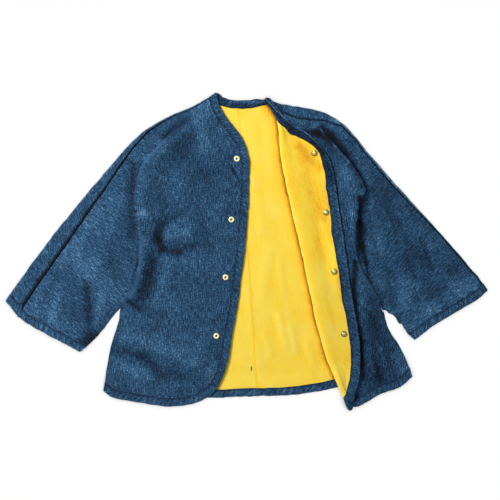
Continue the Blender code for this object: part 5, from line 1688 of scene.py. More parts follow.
@dataclass
class Binding:
    """Denim bias tape folded round an edge, with the puckers that its stitching draws up.

    The puckers follow each other at the pitch, lean across the tape and drift out of step. They
    are lively in some patches and nearly flat in others. The edge wobbles, and the stitches and
    the rim press the tape down. The puckers' tops carry painted light and the pressed lines painted
    shade, the folded edge a painted highlight and the inside faces painted shade.
    """

    name: str
    paths: list[EdgePath]
    inner: Pair
    sewn_to: str
    seed: float
    pucker: float
    widths: Sequence[float] | None = None
    painted_strokes: Table | None = None
    edge_painted_highlights: Pair = (0.18, 0.18)
    stitch_inset: float = 2.2
    stitch_reach: float = 1.6
    stitch_press: float = 0.4
    rim_press: float = 0.25
    rim_share: float = 0.97
    wobble: float = 0.45
    wobble_size: float = 13.0
    pitch: float = 10.5
    lean: float = 7.0
    drift: float = 5.0
    drift_size: float = 47.0
    lively: Pair = (0.55, 0.9)
    lively_size: float = 23.0
    lively_least: float = 0.1
    bulge: float = 0.8
    turned_in: float = 1.3
    fold_share: float = 0.12
    inside_painted_shade: float = -0.5
    leg_steps: int = 8
    round_steps: int = 5

    def stations(self) -> tuple[np.ndarray, np.ndarray, np.ndarray, np.ndarray]:
        """Lines across the tape: points, normals and widths, with their places along it."""
        edge = np.array([path.points[0] for path in self.paths])
        along = np.gradient(edge, axis=0)
        widths = np.full(len(edge), BINDING_WIDTH) if self.widths is None else self.widths
        shares = even(self.leg_steps)
        places, normals, reaches = [], [], []
        for path, way, width in zip(self.paths, along, widths):
            inward = path.at(width)[0] - path.points[0]
            cross = np.linalg.norm(np.cross(inward, way))
            lean = cross / max(np.linalg.norm(inward) * np.linalg.norm(way), 1e-9)
            width /= max(lean, LEAN_LEAST)
            place, normal = path.at(shares * width)
            places.append(place)
            normals.append(normal)
            reaches.append(width)
        knots = lengths_along(edge, TAPE_STEP_LEAST)
        where = np.linspace(0, knots[-1], int(knots[-1] / TAPE_SPACING) + 1)
        where = np.unique(np.concatenate([where, knots]))
        where = where[np.concatenate([[True], np.diff(where) > 0.35])]
        fine = eased(np.array(places), knots, where)
        facing = eased(np.array(normals), knots, where)
        facing /= np.linalg.norm(facing, axis=-1, keepdims=True)
        return fine, facing, np.interp(where, knots, reaches), where

    def ripple(self, where: np.ndarray, share: float, face: float) -> np.ndarray:
        """How far the tape stands off the cloth at a share of its width."""
        values = []
        for place in where:
            slow = noise.noise(Vector((place / self.drift_size, self.seed, face)))
            phase = (2 * math.pi * (place + face * self.lean * share) / self.pitch
                     + self.drift * slow)
            patch = noise.noise(Vector((place / self.lively_size, self.seed + 5, face)))
            lively = max(self.lively[0] + self.lively[1] * patch, self.lively_least)
            values.append(lively * (0.5 + 0.5 * math.sin(phase)))
        across = math.sin(math.pi * min(max(share, 0.0), 1.0) ** self.bulge) ** self.bulge
        return self.pucker * across * np.array(values)

    def build(self, finish: bpy.types.Material) -> tuple[bpy.types.Object, list[np.ndarray]]:
        """Make the tape.

        Args:
            finish: Its material.

        Returns:
            The object, and the two lines that its stitches follow.
        """
        places, normals, widths, where = self.stations()
        top, bottom = self.inner[1] + TAPE, self.inner[0] - TAPE
        middle, half = (top + bottom) / 2, (top - bottom) / 2
        wobble = np.array([noise.noise(Vector((place / self.wobble_size, self.seed + 9, 0)))
                           for place in where])
        wobble *= self.wobble * min(self.pucker + 0.3, 1.0)
        inward = places[:, 1] - places[:, 0]
        inward /= np.maximum(np.linalg.norm(inward, axis=1), 1e-9)[:, None]
        shares = even(self.leg_steps)
        rounding = np.minimum(BINDING_ROUND, 0.35 * widths)
        rings, across, painted_shadings = [], [], []

        def put(reach: np.ndarray, offset: np.ndarray, shade: np.ndarray) -> None:
            """Add one line along the tape at a reach from its edge and an offset from the cloth."""
            share = np.clip(reach / widths, 0, 1) * self.leg_steps
            low = np.minimum(share.astype(int), self.leg_steps - 1)
            part = (share - low)[:, None]
            rows = np.arange(len(where))
            place = places[rows, low] * (1 - part) + places[rows, low + 1] * part
            normal = normals[rows, low] * (1 - part) + normals[rows, low + 1] * part
            fading = np.clip(1 - reach / widths, 0, 1)[:, None]
            shift = inward * wobble[:, None] * fading
            rings.append(place + normal * offset[:, None] + shift)
            across.append(reach)
            painted_shadings.append(shade)

        from_stitches = (shares - 1) * BINDING_WIDTH + self.stitch_inset
        press = (self.stitch_press * bell(from_stitches, self.stitch_reach)
                 + self.rim_press * (shares > self.rim_share))
        # Painted light on the puckers' tops and painted shade along the stitches and the rim, on
        # both legs.
        for share, pressed in list(zip(shares, press))[:1:-1]:
            wave = self.ripple(where, share, 1.0)
            put(share * widths, top + wave - pressed, 0.9 * wave - pressed - 0.1)
        # A painted highlight along the folded edge, easing from the first value at the tape's start
        # to the last at its end.
        first, last = self.edge_painted_highlights
        along_edge = last + (first - last) * (1 - where / where[-1]) ** 2
        for angle in np.linspace(math.pi / 2, -math.pi / 2, self.round_steps + 2):
            wave = self.ripple(where, self.fold_share, math.copysign(1.0, math.sin(angle)))
            put(rounding * (1 - math.cos(angle)), middle + (half + wave * abs(math.sin(angle)))
                * math.sin(angle), along_edge)
        for share, pressed in list(zip(shares, press))[2:]:
            wave = self.ripple(where, share, -1.0)
            put(share * widths, bottom - wave + pressed, 0.9 * wave - pressed - 0.1)
        # Painted shade on the tape's inside faces.
        dark = np.full(len(where), self.inside_painted_shade)
        turned_in = np.minimum(rounding, self.turned_in)
        for reach, offset in ((widths, self.inner[0]), (turned_in, self.inner[0]),
                              (turned_in, self.inner[1]), (widths, self.inner[1])):
            put(reach, np.full(len(where), offset), dark)
        size = len(rings)
        shape = np.array(rings).transpose(1, 0, 2)
        shape[..., 2] = np.maximum(shape[..., 2], TAPE_CLEAR)
        cloth = on_bias(where[:, None], np.array(across).T) + BOLT_STEP * self.seed
        count = len(where)
        faces = [[k * size + j, k * size + (j + 1) % size, (k + 1) * size + (j + 1) % size,
                  (k + 1) * size + j] for k in range(count - 1) for j in range(size)]
        faces += [list(range(size))[::-1], list(range((count - 1) * size, count * size))]
        tone = np.array(painted_shadings).T
        # Strokes of painted light and shade on some tapes.
        if self.painted_strokes is not None:
            tone = tone + relief(shape[..., :2], self.painted_strokes)
        shape = drawn(shape.reshape(-1, 3)).reshape(shape.shape)
        piece = mesh_object(self.name, shape.reshape(-1, 3), faces, finish,
                            cloth.reshape(-1, 2), tone.reshape(-1))
        stitch = int(round((1 - self.stitch_inset / BINDING_WIDTH) * self.leg_steps))
        lines = [shape[:, self.leg_steps - stitch],
                 shape[:, self.leg_steps + self.round_steps + stitch - 1]]
        return piece, lines


@dataclass
class TapeEnd:
    """A tape's end, folded under over the cut ends of the tapes that it meets.

    Its rings run from the middle to the rim, at shares of the rim's distance, and then drop. Its
    top and underside carry painted shade; the line on the neck's end carries a painted highlight
    and the lines on the others painted shade.
    """

    name: str
    outline: Table
    middle: tuple[float, float, float]
    line: Table
    shade: float
    line_painted_shading: float
    line_height: float
    ease: float
    line_width: float = 0.9
    shares: tuple[float, ...] = (0.2, 0.45, 0.7, 0.88, 1.0, 1.03, 1.02, 0.96)
    drops: tuple[float, ...] = (0.0, 0.0, 0.0, 0.0, 0.0, 1.1, 2.6, 4.5)
    last_drop: float = 7.0
    rings_on_top: int = 5
    clear: float = 0.3
    waves: tuple[tuple[float, float, float], ...] = ((0.3, 0, 6.0),)
    seed: float = 33.0
    inside_painted_shade: float = -0.5
    count: int = 60

    def build(self, finish: bpy.types.Material) -> bpy.types.Object:
        """Make the tape's end as rings round its middle."""
        rim = sample(np.column_stack(list(self.outline.values())), even(self.count))[:-1]
        middle = np.array(self.middle)
        rings = []
        for share, drop in zip(self.shares, self.drops):
            ring = middle + (rim - middle) * (share, share, share ** self.ease)
            rings.append(ring - (0.0, 0.0, drop))
        points = np.vstack([[middle], *rings, [middle - (0.0, 0.0, self.last_drop)]])
        fold = bell(distance(points[:, :2], plan(self.line)), self.line_width)
        points[:, 2] += rumples(points[:, :2], self.seed, self.waves) + self.line_height * fold
        points[:, 2] = np.maximum(points[:, 2], self.clear)
        # Painted shade over the end and underneath; its line is painted lighter where its value is
        # above 0 and darker where below.
        tone = self.shade + self.line_painted_shading * fold
        tone[1 + self.rings_on_top * self.count:] = self.inside_painted_shade
        pairs = [(k, (k + 1) % self.count) for k in range(self.count)]
        last = 1 + (len(rings) - 1) * self.count
        faces = [[1 + after, 1 + k, 0] for k, after in pairs]
        for first in range(1, last, self.count):
            outer = first + self.count
            faces += [[first + after, outer + after, outer + k, first + k] for k, after in pairs]
        faces += [[last + k, last + after, len(points) - 1] for k, after in pairs]
        return mesh_object(self.name, drawn(points), faces, finish,
                           on_bias(points[:, 0], points[:, 1]), tone)


TAPE_ENDS = (
    TapeEnd("tape_end_foot", FOOT_END, (195.0, -284.0, 16.5), FOOT_FOLD, -0.1, -0.6, -0.35, 2.0),
    TapeEnd("tape_end_neck", NECK_END, (55.0, 262.5, 13.4), NECK_RIDGE, -0.6, 1.5, 0.3, 1.0),
    TapeEnd("tape_end_collar", COLLAR_END, (-52.0, 286.0, 4.8), COLLAR_FOLD, -0.4, -0.3, -0.1,
            2.0),
)


@dataclass
class Stitching:
    """Rows of machine stitches laid along lines by a node tree."""

    pitch: float = 3.6
    length: float = 2.7
    thickness: float = 0.55

    def tree(self) -> bpy.types.NodeTree:
        """The node tree that turns lines into stitches."""
        tree = bpy.data.node_groups.new("Machine stitches", "GeometryNodeTree")
        face = tree.interface
        face.new_socket("Lines", in_out="INPUT", socket_type="NodeSocketGeometry")
        for name in ("Pitch", "Length", "Thickness"):
            face.new_socket(name, in_out="INPUT", socket_type="NodeSocketFloat")
        face.new_socket("Thread", in_out="INPUT", socket_type="NodeSocketMaterial")
        face.new_socket("Stitches", in_out="OUTPUT", socket_type="NodeSocketGeometry")
        given = add(tree, "NodeGroupInput").outputs
        curve = add(tree, "GeometryNodeMeshToCurve", {"Mesh": given["Lines"]})
        spaced = add(tree, "GeometryNodeResampleCurve", {
            "Curve": curve.outputs["Curve"], "Length": given["Pitch"]}, mode="LENGTH")
        tangent = add(tree, "GeometryNodeInputTangent")
        turn = add(tree, "FunctionNodeAlignRotationToVector",
                   {"Vector": tangent.outputs["Tangent"]}, axis="Z")
        bead = add(tree, "GeometryNodeMeshUVSphere", {"Segments": 6, "Rings": 4, "Radius": 0.5})
        size = add(tree, "ShaderNodeCombineXYZ", {"X": given["Thickness"],
                                                  "Y": given["Thickness"], "Z": given["Length"]})
        vary = add(tree, "FunctionNodeRandomValue", {"Min": (0.85, 0.85, 0.8),
                                                     "Max": (1.1, 1.1, 1.1), "Seed": 7},
                   data_type="FLOAT_VECTOR")
        scale = add(tree, "ShaderNodeVectorMath", {0: size.outputs["Vector"],
                                                   1: vary.outputs["Value"]},
                    operation="MULTIPLY")
        put = add(tree, "GeometryNodeInstanceOnPoints", {
            "Points": spaced.outputs["Curve"], "Instance": bead.outputs["Mesh"],
            "Rotation": turn.outputs["Rotation"], "Scale": scale.outputs["Vector"]})
        real = add(tree, "GeometryNodeRealizeInstances", {"Geometry": put.outputs["Instances"]})
        dressed = add(tree, "GeometryNodeSetMaterial", {
            "Geometry": real.outputs["Geometry"], "Material": given["Thread"]})
        add(tree, "NodeGroupOutput", {"Stitches": dressed.outputs["Geometry"]})
        return tree

    def sew(self, name: str, lines: Sequence[np.ndarray], tree: bpy.types.NodeTree,
            thread: bpy.types.Material) -> bpy.types.Object:
        """Lay stitches along lines.

        Args:
            name: The piece's name.
            lines: Points in millimetres, one array for each row of stitches.
            tree: The node tree.
            thread: The thread's finish.

        Returns:
            The stitches as one plain mesh object.
        """
        mesh = bpy.data.meshes.new(name + "_lines")
        edges, start = [], 0
        for line in lines:
            edges += [(start + k, start + k + 1) for k in range(len(line) - 1)]
            start += len(line)
        mesh.from_pydata((np.vstack(lines) * MM).tolist(), edges, [])
        rows = shown(name + "_lines", mesh)
        sewn = rows.modifiers.new("Stitches", "NODES")
        sewn.node_group = tree
        values = {"Pitch": self.pitch * MM, "Length": self.length * MM,
                  "Thickness": self.thickness * MM, "Thread": thread}
        for item in tree.interface.items_tree:
            if item.in_out == "INPUT" and item.name in values:
                sewn[item.identifier] = values[item.name]
        graph = bpy.context.evaluated_depsgraph_get()
        plain = bpy.data.meshes.new_from_object(rows.evaluated_get(graph), depsgraph=graph)
        bpy.data.objects.remove(rows)
        plain.name = name
        plain.shade_smooth()
        return shown(name, plain)


class SnapKind(Enum):
    """The two kinds of press stud, with their profiles: radius, height and painted shading, which
    is dark in the ring's hole and round the cap's flange and lighter on the tops.
    """

    RING = ((1.7, 0.1, -0.9), (1.75, 0.9, -0.7), (2.0, 1.35, 0.0), (2.6, 1.75, 0.25),
            (3.6, 1.95, 0.3), (4.6, 1.8, 0.3), (5.3, 1.3, 0.1), (5.6, 0.6, 0.0), (5.65, 0.0, -0.2),
            (5.2, -0.1, -0.3), (1.7, -0.1, -0.9))
    CAP = ((0.0, 2.6, 0.2), (0.9, 2.55, 0.2), (2.0, 2.3, 0.15), (3.2, 1.85, 0.1),
           (4.0, 1.35, -0.2), (4.35, 1.05, -0.5), (4.7, 1.1, -0.35), (5.2, 1.05, -0.15),
           (5.6, 0.7, -0.2), (5.75, 0.2, -0.4), (5.6, -0.1, -0.5), (0.0, -0.1, -0.3))


@dataclass
class Snap:
    """One press stud seated on the cloth."""

    name: str
    kind: SnapKind
    x: float
    y: float
    seat_radius: float = 4.0
    seat_places: int = 12
    raised: float = 0.15
    segments: int = 40

    def build(self, tree: BVHTree, finish: bpy.types.Material) -> bpy.types.Object:
        """Turn the profile and seat it on the cloth.

        Args:
            tree: The cloth's face that carries it.
            finish: Its metal.

        Returns:
            The object.
        """
        hits = []
        for angle in np.linspace(0, 2 * math.pi, self.seat_places, endpoint=False):
            hit = look_down(tree, self.x + self.seat_radius * math.cos(angle),
                       self.y + self.seat_radius * math.sin(angle))[0]
            if hit:
                hits.append(tuple(hit))
        around = np.array(hits)
        flat = np.column_stack([around[:, :2] - (self.x, self.y), np.ones(len(around))])
        slope = np.linalg.lstsq(flat, around[:, 2], rcond=None)[0]
        axis = Vector((-slope[0], -slope[1], 1.0)).normalized()
        turn = np.array(Vector((0, 0, 1)).rotation_difference(axis).to_matrix())
        centre = drawn(np.array([[self.x, self.y, slope[2] + self.raised]]))[0]
        angles = np.linspace(0, 2 * math.pi, self.segments, endpoint=False)
        points, painted_shadings, rings = [], [], []
        for radius, height, tone in self.kind.value:
            count = self.segments if radius else 1
            rings.append([len(points) + k % count for k in range(self.segments)])
            points += [(radius * math.cos(a), radius * math.sin(a), height)
                       for a in angles[:count]]
            painted_shadings += [tone] * count
        if self.kind is SnapKind.RING:
            rings.append(rings[0])
        faces = []
        for inner, outer in zip(rings[:-1], rings[1:]):
            for k in range(self.segments):
                after = (k + 1) % self.segments
                faces.append(list(dict.fromkeys([inner[k], outer[k], outer[after],
                                                 inner[after]])))
        return mesh_object(self.name, np.array(points) @ turn.T + centre, faces, finish,
                           tone=np.array(painted_shadings))


@dataclass(frozen=True)
class Lamp:
    """A soft square light that falls on the floor alone or on everything else."""

    name: str
    place: tuple[float, float, float]
    size: float
    power: float
    floor_link: str

    def build(self, floor: bpy.types.Object) -> None:
        """Hang the light, turned towards the jacket."""
        data = bpy.data.lights.new(self.name, "AREA")
        data.size = self.size
        data.energy = self.power
        light = shown(self.name, data)
        light.location = self.place
        light.rotation_mode = "QUATERNION"
        light.rotation_quaternion = (Vector() - light.location).to_track_quat("-Z", "Y")
        light.visible_camera = False
        group = bpy.data.collections.new(self.name)
        light.light_linking.receiver_collection = group
        group.objects.link(floor)
        group.collection_objects[0].light_linking.link_state = self.floor_link


@dataclass
class Studio:
    """Pale floor, soft light and the camera straight above.

    The key lights the jacket alone and the overhead panel lights the paper alone, as a studio
    lights its backdrop on its own to keep it white.
    """

    centre: Pair = (0.0066, 0.0005)
    field_of_view: float = 0.95
    height: float = 1.9
    sensor: float = 36.0
    clip_end: float = 50.0
    floor_size: float = 8.0
    floor_gap: float = 0.05
    ambient: float = 0.5
    lamps: tuple[Lamp, ...] = (
        Lamp("key", (-1.65, 1.15, 1.5), 0.8, 95.0, "EXCLUDE"),
        Lamp("backdrop_light", (0.0, 0.0, 2.8), 3.0, 66.0, "INCLUDE"))

    def build(self) -> None:
        """Set up the floor, the camera and the lights."""
        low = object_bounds()[0].z / MM - self.floor_gap
        reach = self.floor_size / 2 / MM
        corners = np.array([(x * reach, y * reach, low)
                            for x, y in ((-1, -1), (1, -1), (1, 1), (-1, 1))])
        floor = mesh_object("floor", corners, [[0, 1, 2, 3]], StudioFloor().make())
        floor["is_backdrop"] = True
        camera = shown("camera", bpy.data.cameras.new("camera"))
        camera.data.sensor_width = self.sensor
        camera.data.lens = self.sensor * self.height / self.field_of_view
        camera.data.clip_end = self.clip_end
        camera.location = (*self.centre, self.height)
        scene = bpy.context.scene
        scene.camera = camera
        for lamp in self.lamps:
            lamp.build(floor)
        scene.world = bpy.data.worlds.new("studio")
        scene.world.use_nodes = True
        background = scene.world.node_tree.nodes["Background"]
        background.inputs["Color"].default_value = srgb("ffffff")
        background.inputs["Strength"].default_value = self.ambient
        scene.view_settings.view_transform = "Standard"


class Jacket:
    """The whole jacket: its quilts of cloth, its bindings, its stitches and its snaps."""

    def __init__(self) -> None:
        """Make the materials and work out the cloth of both halves."""
        self.finishes = Finishes()
        self.right = Half(Side.RIGHT, TOP_EDGE_R, plan(CUFF_R), plan(UNDERARM_R), plan(SIDE_R),
                          plan(HEM_R), plan(HEM_BACK_R), plan(NECK_R), plan(LINING_EDGE_R),
                          ARMHOLE_R, FOLDS_R, level=3.8, bound_raise=2.2, columns=13,
                          shoulder_columns=4, sleeve_turn=49.0, seam_width=1.45, seam_faint=0.25,
                          seam_until=90.0)
        self.left = Half(Side.LEFT, TOP_EDGE_L, plan(CUFF_L), plan(UNDERARM_L), plan(SIDE_L),
                         plan(HEM_L), plan(HEM_BACK_L), plan(NECK_L), plan(LINING_EDGE_L),
                         ARMHOLE_L, FOLDS_L, level=4.1, bound_raise=3.2, columns=9,
                         shoulder_columns=5, sleeve_turn=-44.0, seam_width=1.05, seam_faint=0.6,
                         seam_until=110.0)
        self.flap = Flap()
        self.roll_column = BODY_COLUMN + self.left.columns
        inner = sample(plan(FRONT_EDGE_R), rows_along(FRONT_EDGE_R, ARMPIT_LEVEL_R))
        self.front_r = Quilt(front_net(self.right, inner), Side.RIGHT, FRONT_SPACING, True)
        front = front_net(self.left, self.flap.tangent)
        self.front_l = Quilt(self.flap.net(self.left, front), Side.LEFT, FRONT_SPACING, True)
        self.back_r = Quilt(back_net(self.right), Side.RIGHT, BACK_SPACING, False)
        self.back_l = Quilt(back_net(self.left), Side.LEFT, BACK_SPACING, False)

    def edge_paths(self) -> dict[str, list[EdgePath]]:
        """Paths inwards from every bound edge, measured before the cloth is creased."""
        found: dict[str, list[EdgePath]] = {}
        front = self.front_r
        last_row, last_column = len(front.rows) - 1, len(front.columns) - 1
        sides = [front.path(row, None, -1) for row in range(last_row)]
        hems = [front.path(None, column, -1) for column in range(BODY_COLUMN, last_column)]
        count = min(len(sides[0]), front.present.shape[0])
        corner = [(front.present.shape[0] - 1 - np.arange(count)) * front.present.shape[1]
                  + front.present.shape[1] - 1 - np.arange(count)]
        found["edge_r"] = squared(front, sides + corner + hems[::-1], first=BODY_COLUMN)
        front = self.front_l
        found["edge_l"] = traced(front, [front.line(row, None, -1)
                                         for row in range(front.present.shape[0])])
        hems = [front.path(None, column, -1)
                for column in range(BODY_COLUMN, self.roll_column + 1)]
        found["hem_l"] = squared(self.body_only(), hems, [self.left.columns], clear=HEM_CLEAR)
        for key, back, front, half in (("r", self.back_r, self.front_r, self.right),
                                       ("l", self.back_l, self.front_l, self.left)):
            turn = 1 if key == "l" else -1
            columns = range(SLEEVE_COLUMNS, len(back.columns))
            hems = [back.path(None, column, -1) for column in columns]
            found["hem_" + key + "_back"] = squared(back, hems[::turn])
            peak = SLEEVE_COLUMNS + half.shoulder_columns
            necks = [back.path(None, column, 1) for column in range(peak, len(back.columns))]
            necks[0] = necks[0][back.rows[WRAPS]:]
            found["neck_" + key] = squared(back, necks[::-turn],
                                           [BACK_NECK_COLUMNS if key == "l" else 0],
                                           clear=NECK_CLEAR if key == "l" else CORNER_CLEAR)
            rows = range(WRAPS + BACK_UPPER_ROWS, -1, -1)
            found["cuff_" + key] = traced(back, [back.path(row, None, 1) for row in rows], -1)
            found["cuff_" + key] += traced(front, [front.path(row, None, 1)
                                                   for row in range(UPPER_ROWS + 1)])
        return found

    def body_only(self) -> Quilt:
        """The left front without its roll and flap, to look for the cloth under them."""
        bare = copy.copy(self.front_l)
        bare.present = self.front_l.present.copy()
        bare.present[:, self.front_l.columns[self.roll_column] + 1:] = False
        bare.present[:, :self.front_l.columns[BODY_COLUMN - 1]] = False
        return bare

    def lining_rows(self) -> tuple[int, int]:
        """Fine rows where the left front's lining shows between the flap's roll and binding."""
        down = self.front_l.grid[:, self.front_l.columns[self.roll_column], 1]
        shown = np.flatnonzero((down < LINING_TOP) & (down > LINING_FOOT))
        return int(shown[0]), int(shown[-1])

    def hide_edges(self) -> None:
        """Draw every bound edge of the cloth back into its binding."""
        for front in (self.front_r, self.front_l):
            first = front.columns[BODY_COLUMN]
            count, width = front.present.shape
            front.set_back([front.line(None, column, -1) for column in range(first, width)])
            front.set_back([front.line(row, None, -1) for row in range(count)])
            front.set_back([front.line(row, None, 1)
                            for row in range(front.rows[UPPER_ROWS] + 1)])
        for back, half in ((self.back_r, self.right), (self.back_l, self.left)):
            count, width = back.present.shape
            first, peak = (back.columns[SLEEVE_COLUMNS + number]
                           for number in (0, half.shoulder_columns))
            back.set_back([back.line(None, column, -1) for column in range(first, width)])
            necks = [back.line(None, column, 1) for column in range(peak, width)]
            necks[0] = necks[0][back.rows[WRAPS]:]
            back.set_back(necks)
            back.set_back([back.line(row, None, 1)
                           for row in range(back.rows[WRAPS + BACK_UPPER_ROWS] + 1)])

    def crease(self) -> None:
        """Lay small creases, rumples and puckers over every quilt, with painted light and shade on
        them.
        """
        for quilt, half, creases, painted_strokes, seed in (
                (self.front_r, self.right, CREASES_FRONT_R, PAINTED_SHADING_FRONT_R, 3.1),
                (self.front_l, self.left, CREASES_FRONT_L, PAINTED_SHADING_FRONT_L, 8.7),
                (self.back_r, self.right, CREASES_BACK, None, 14.2),
                (self.back_l, self.left, CREASES_BACK, None, 21.9)):
            back, folded = painted_strokes is None, quilt is self.front_l
            points, column = quilt.grid[..., :2], quilt.column_at[None]
            on_flap = folded & (column > self.roll_column + ROLL_COLUMNS - 1)
            from_top, along = nearest(points, half.fine_top)
            waves = rumples(points, seed, CLOTH_WAVES)
            small = relief(points, creases)
            if folded:
                small = np.where(on_flap, FLAP_CREASES * relief(points, CREASES_FLAP), small)
            free = self.freedom(quilt, half, back, on_flap)
            calm = CALM if back else np.where(on_flap, CALM, 1.0)
            height = (waves * calm + small) * free * smooth(from_top / CREASE_SETTLE)
            height = np.maximum(height, CREASE_LEAST)
            # Painted light on the ridges and painted shade in the hollows of the creases and
            # rumples.
            tone = np.clip(CREASE_PAINTED_SHADING * small + WAVE_PAINTED_SHADING * waves, -PAINTED_SHADING_LIMIT, PAINTED_SHADING_LIMIT)
            groove = self.seam_groove(half, from_top, along) * (column < self.roll_column)
            if back:
                height = self.above_floor(quilt, height)
                groove = groove * (quilt.row_at[:, None] < GROOVE_ROWS)
                self.shade_lining(quilt, points)
                if half.side is Side.LEFT:
                    turned = quilt.row_at[:, None] < WRAPS - 1
                    tone += TURNED_TONE * turned * smooth((along - half.seam_until) / SEAM_EASE)
            else:
                # Strokes of painted light and shade, and the flap a little darker all over.
                tone += np.where(on_flap, relief(points, PAINTED_SHADING_FLAP) + FLAP_TONE,
                                 relief(points, painted_strokes))
                tug = np.exp(-from_top / PUCKER_REACH) * smooth(from_top / PUCKER_START)
                tug = tug * self.puckers(along, from_top, seed)
                height = height + PUCKER_HEIGHT * tug * free
                # Painted light on the puckers' tops and painted shade between them.
                tone += PUCKER_PAINTED_SHADING * tug
            under_arm = bell(distance(points, half.underarm), UNDERARM_WIDTH)
            # Painted shade in the seam's groove and along the underarm seam.
            quilt.tone = tone - SEAM_PAINTED_SHADE * groove - UNDERARM_PAINTED_SHADE * under_arm
            quilt.displace(height - SEAM_DEPTH * groove)

    def freedom(self, quilt: Quilt, half: Half, back: bool, on_flap: np.ndarray) -> np.ndarray:
        """How far small creases may lift each place of a quilt, from 0 to 1.

        Args:
            quilt: The cloth.
            half: Its side's lines.
            back: Whether it belongs to the back.
            on_flap: Which of its columns lie on the flap.

        Returns:
            One value for each grid place, 0 where it is bound, turned or covered.
        """
        points, column = quilt.grid[..., :2], quilt.column_at[None]
        hem = half.fine_hem_back if back else half.fine_hem
        free = 1 - bound_zone(points, [half.fine_cuff, half.fine_neck, hem])
        if back:
            return free
        tuck = np.abs(column - SLEEVE_COLUMNS - TUCK_TURN_COLUMNS) / TUCK_TURN_COLUMNS
        free = free * smooth(tuck - 1.0)
        if quilt is self.front_r:
            edge = sample(plan(FRONT_EDGE_R), even(LINE_STEPS))
            return free * smooth((distance(points, edge) - BINDING_WIDTH) / BINDING_EASE)
        free = free * smooth((len(quilt.columns) - 1 - column) / FLAP_EDGE_EASE)
        return free * np.where(on_flap, 1.0, smooth(self.roll_column - 1 - column))

    @staticmethod
    def above_floor(quilt: Quilt, height: np.ndarray) -> np.ndarray:
        """Lift a back quilt off the floor, and ease its hollows into the room that is left."""
        least = HALF_GAP + SHELL
        quilt.grid[..., 2] = np.maximum(quilt.grid[..., 2], least + FLOOR_CLEAR)
        room = np.maximum(quilt.grid[..., 2] - least - FLOOR_ROOM, FLOOR_ROOM)
        return np.where(height < 0, -room * (1 - np.exp(height / room)), height)

    @staticmethod
    def puckers(along: np.ndarray, away: np.ndarray, seed: float) -> np.ndarray:
        """Waves between -1 and 1 that the seam's stitches draw up, uneven along it."""
        uneven = rumple(np.stack([along, away * PUCKER_SPREAD], -1), seed, PUCKER_SIZE)
        return np.sin(2 * math.pi * along / PUCKER_PITCH + PUCKER_DRIFT * uneven)

    @staticmethod
    def seam_groove(half: Half, away: np.ndarray, along: np.ndarray) -> np.ndarray:
        """Share of the shoulder seam's depth at each place, faint on the shoulder itself."""
        faint = half.seam_faint
        return bell(away, half.seam_width) * (
            faint + (1 - faint) * smooth((along - half.seam_until) / SEAM_EASE))

    @staticmethod
    def shade_lining(quilt: Quilt, points: np.ndarray) -> None:
        """Darken the back's lining under the roll and in the centre seam."""
        roll = distance(points, sample(plan(ROLL), even(ROLL_STEPS)))
        quilt.shade = LINING_SHADE - sum(depth * bell(roll, width)
                                         for depth, width in ROLL_SHADES)
        depth, width = CENTRE_SHADE
        quilt.shade -= depth * bell(distance(points, CENTRE), width)

    def panels(self) -> tuple[Panel, ...]:
        """Every layer of cloth, with the flat sizes that its sheet states."""
        denim, cotton = self.finishes.denim, self.finishes.cotton
        return (
            Panel("back_shell_r", self.back_r, BACK_SHELL_SPAN, denim, "denim", (0.60, 0.59), 0.19),
            Panel("back_shell_l", self.back_l, BACK_SHELL_SPAN, denim, "denim", (0.60, 0.59),
                  0.178),
            Panel("back_lining_r", self.back_r, BACK_LINING_SPAN, cotton, "brushed_cotton",
                  (0.11, 0.57), 0.041, ("back_shell_r",),
                  SLEEVE_COLUMNS + self.right.shoulder_columns),
            Panel("back_lining_l", self.back_l, BACK_LINING_SPAN, cotton, "brushed_cotton",
                  (0.175, 0.57), 0.07, ("back_shell_l",),
                  SLEEVE_COLUMNS + self.left.shoulder_columns),
            Panel("front_shell_r", self.front_r, FRONT_SHELL_SPAN, denim, "denim", (0.58, 0.60),
                  0.172, ("back_shell_r",)),
            Panel("front_shell_l", self.front_l, FRONT_SHELL_SPAN, denim, "denim", (0.62, 0.60),
                  0.176, ("back_shell_l",)),
            Panel("front_lining_l", self.front_l, FRONT_LINING_SPAN, cotton, "brushed_cotton",
                  (0.16, 0.60), 0.067, ("front_shell_l",), self.roll_column - LINING_COLUMNS,
                  self.lining_rows()),
        )

    def bindings(self) -> tuple[Binding, ...]:
        """Every binding, on paths measured before the cloth is creased."""
        paths = self.edge_paths()
        neck = paths["neck_r"][:-1] + paths["neck_l"]
        neck_widths = np.interp(even(len(neck) - 1), *NECK_BINDING.values())
        return (
            Binding("binding_front_r", paths["edge_r"], SHELL_BOUND_SPAN, "front_shell_r", 1.3,
                    0.42),
            Binding("binding_front_l", paths["edge_l"], FRONT_BOUND_SPAN, "front_shell_l", 2.7,
                    0.3, self.flap.binding_widths(paths["edge_l"]), PAINTED_SHADING_BINDING_L, (1.3, 0.15)),
            Binding("binding_hem_l", paths["hem_l"], FRONT_BOUND_SPAN, "front_shell_l", 3.9, 0.75),
            Binding("binding_hem_back", paths["hem_l_back"][:-1] + paths["hem_r_back"],
                    BACK_BOUND_SPAN, "back_shell_l", 4.4, 0.7),
            Binding("binding_neck_back", neck, BACK_BOUND_SPAN, "back_shell_r", 5.6, 0.45,
                    neck_widths, PAINTED_SHADING_NECK),
            Binding("binding_cuff_r", paths["cuff_r"], SHELL_BOUND_SPAN, "front_shell_r", 6.2,
                    0.8),
            Binding("binding_cuff_l", paths["cuff_l"], SHELL_BOUND_SPAN, "front_shell_l", 7.8,
                    0.8),
        )

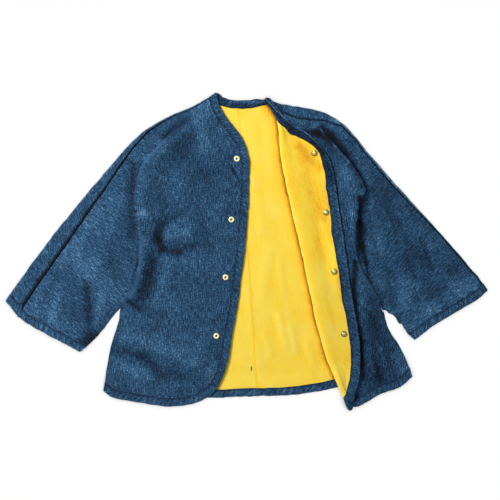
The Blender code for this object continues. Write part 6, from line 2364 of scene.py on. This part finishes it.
    def build(self) -> None:
        """Make every piece, hide the solids that they stand for and report them."""
        bindings = self.bindings()
        self.hide_edges()
        self.crease()
        panels = self.panels()
        trims: dict[str, list[bpy.types.Object]] = defaultdict(list)
        sewing = Stitching()
        tree = sewing.tree()
        for binding in bindings:
            piece, lines = binding.build(self.finishes.denim)
            if binding.name == "binding_front_r":
                face = self.front_r.tree(BODY_COLUMN, FRONT_SHELL_SPAN[1])
                lines.append(self.topstitch(binding, face))
            self.place(piece, "denim", binding.name)
            sewn = sewing.sew("stitches_" + binding.name, lines, tree, self.finishes.navy)
            self.place(sewn, None)
            trims[binding.sewn_to] += [piece, sewn]
        for end in TAPE_ENDS:
            trims["front_shell_l"].append(self.place(end.build(self.finishes.denim), "denim"))
        for panel in panels:
            self.place(panel.build(), panel.slot, panel.name)
        for kind, quilt, first, offset, spots, metal, owner in (
                (SnapKind.RING, self.front_r, BODY_COLUMN, FRONT_SHELL_SPAN[1], RING_SNAPS,
                 self.finishes.ring, "front_shell_r"),
                (SnapKind.CAP, self.front_l, self.roll_column + ROLL_COLUMNS,
                 FRONT_LINING_SPAN[0], CAP_SNAPS, self.finishes.cap, "front_shell_l")):
            face = quilt.tree(first, offset)
            for k, (x, y) in enumerate(zip(*spots.values())):
                name = f"{kind.name.lower()}_snap_{k + 1}"
                snap = self.place(Snap(name, kind, x, y).build(face, metal), "brass", name)
                trims[owner].append(snap)

    @staticmethod
    def topstitch(binding: Binding, face: BVHTree) -> np.ndarray:
        """A second row of stitches on the cloth beside a binding, as points in order."""
        line = []
        for path in binding.paths:
            x, y = path.at(BINDING_WIDTH + TOPSTITCH)[0][:2]
            hit = look_down(face, x, y)[0]
            if hit:
                line.append([x, y, hit.z + TOPSTITCH_RAISE])
        knots = lengths_along(np.array(line), TAPE_STEP_LEAST)
        fine = eased(np.array(line), knots, np.arange(0.0, knots[-1], TOPSTITCH_SPACING))
        for place in fine:
            hit = look_down(face, *place[:2])[0]
            place[2] = hit.z + TOPSTITCH_RAISE if hit else place[2]
        return drawn(fine)

    @staticmethod
    def place(piece: bpy.types.Object, slot: str | None, node: str = "") -> bpy.types.Object:
        """Let a piece ride on the jacket's one body, and hide the solid that it stands for."""
        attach(piece, "root")
        if node:
            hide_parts(node)
            piece.name = node + "_cloth" if "snap" not in node else node + "_stud"
        faces = sum(len(face.vertices) - 2 for face in piece.data.polygons)
        LOG.info("%s: %d triangles", piece.name, faces)
        return piece


def main() -> None:
    """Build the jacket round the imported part, and the studio round the jacket."""
    logging.basicConfig(level=logging.INFO, format="%(name)s %(message)s")
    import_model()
    Jacket().build()
    Studio().build()


if __name__ == "__main__":
    main()
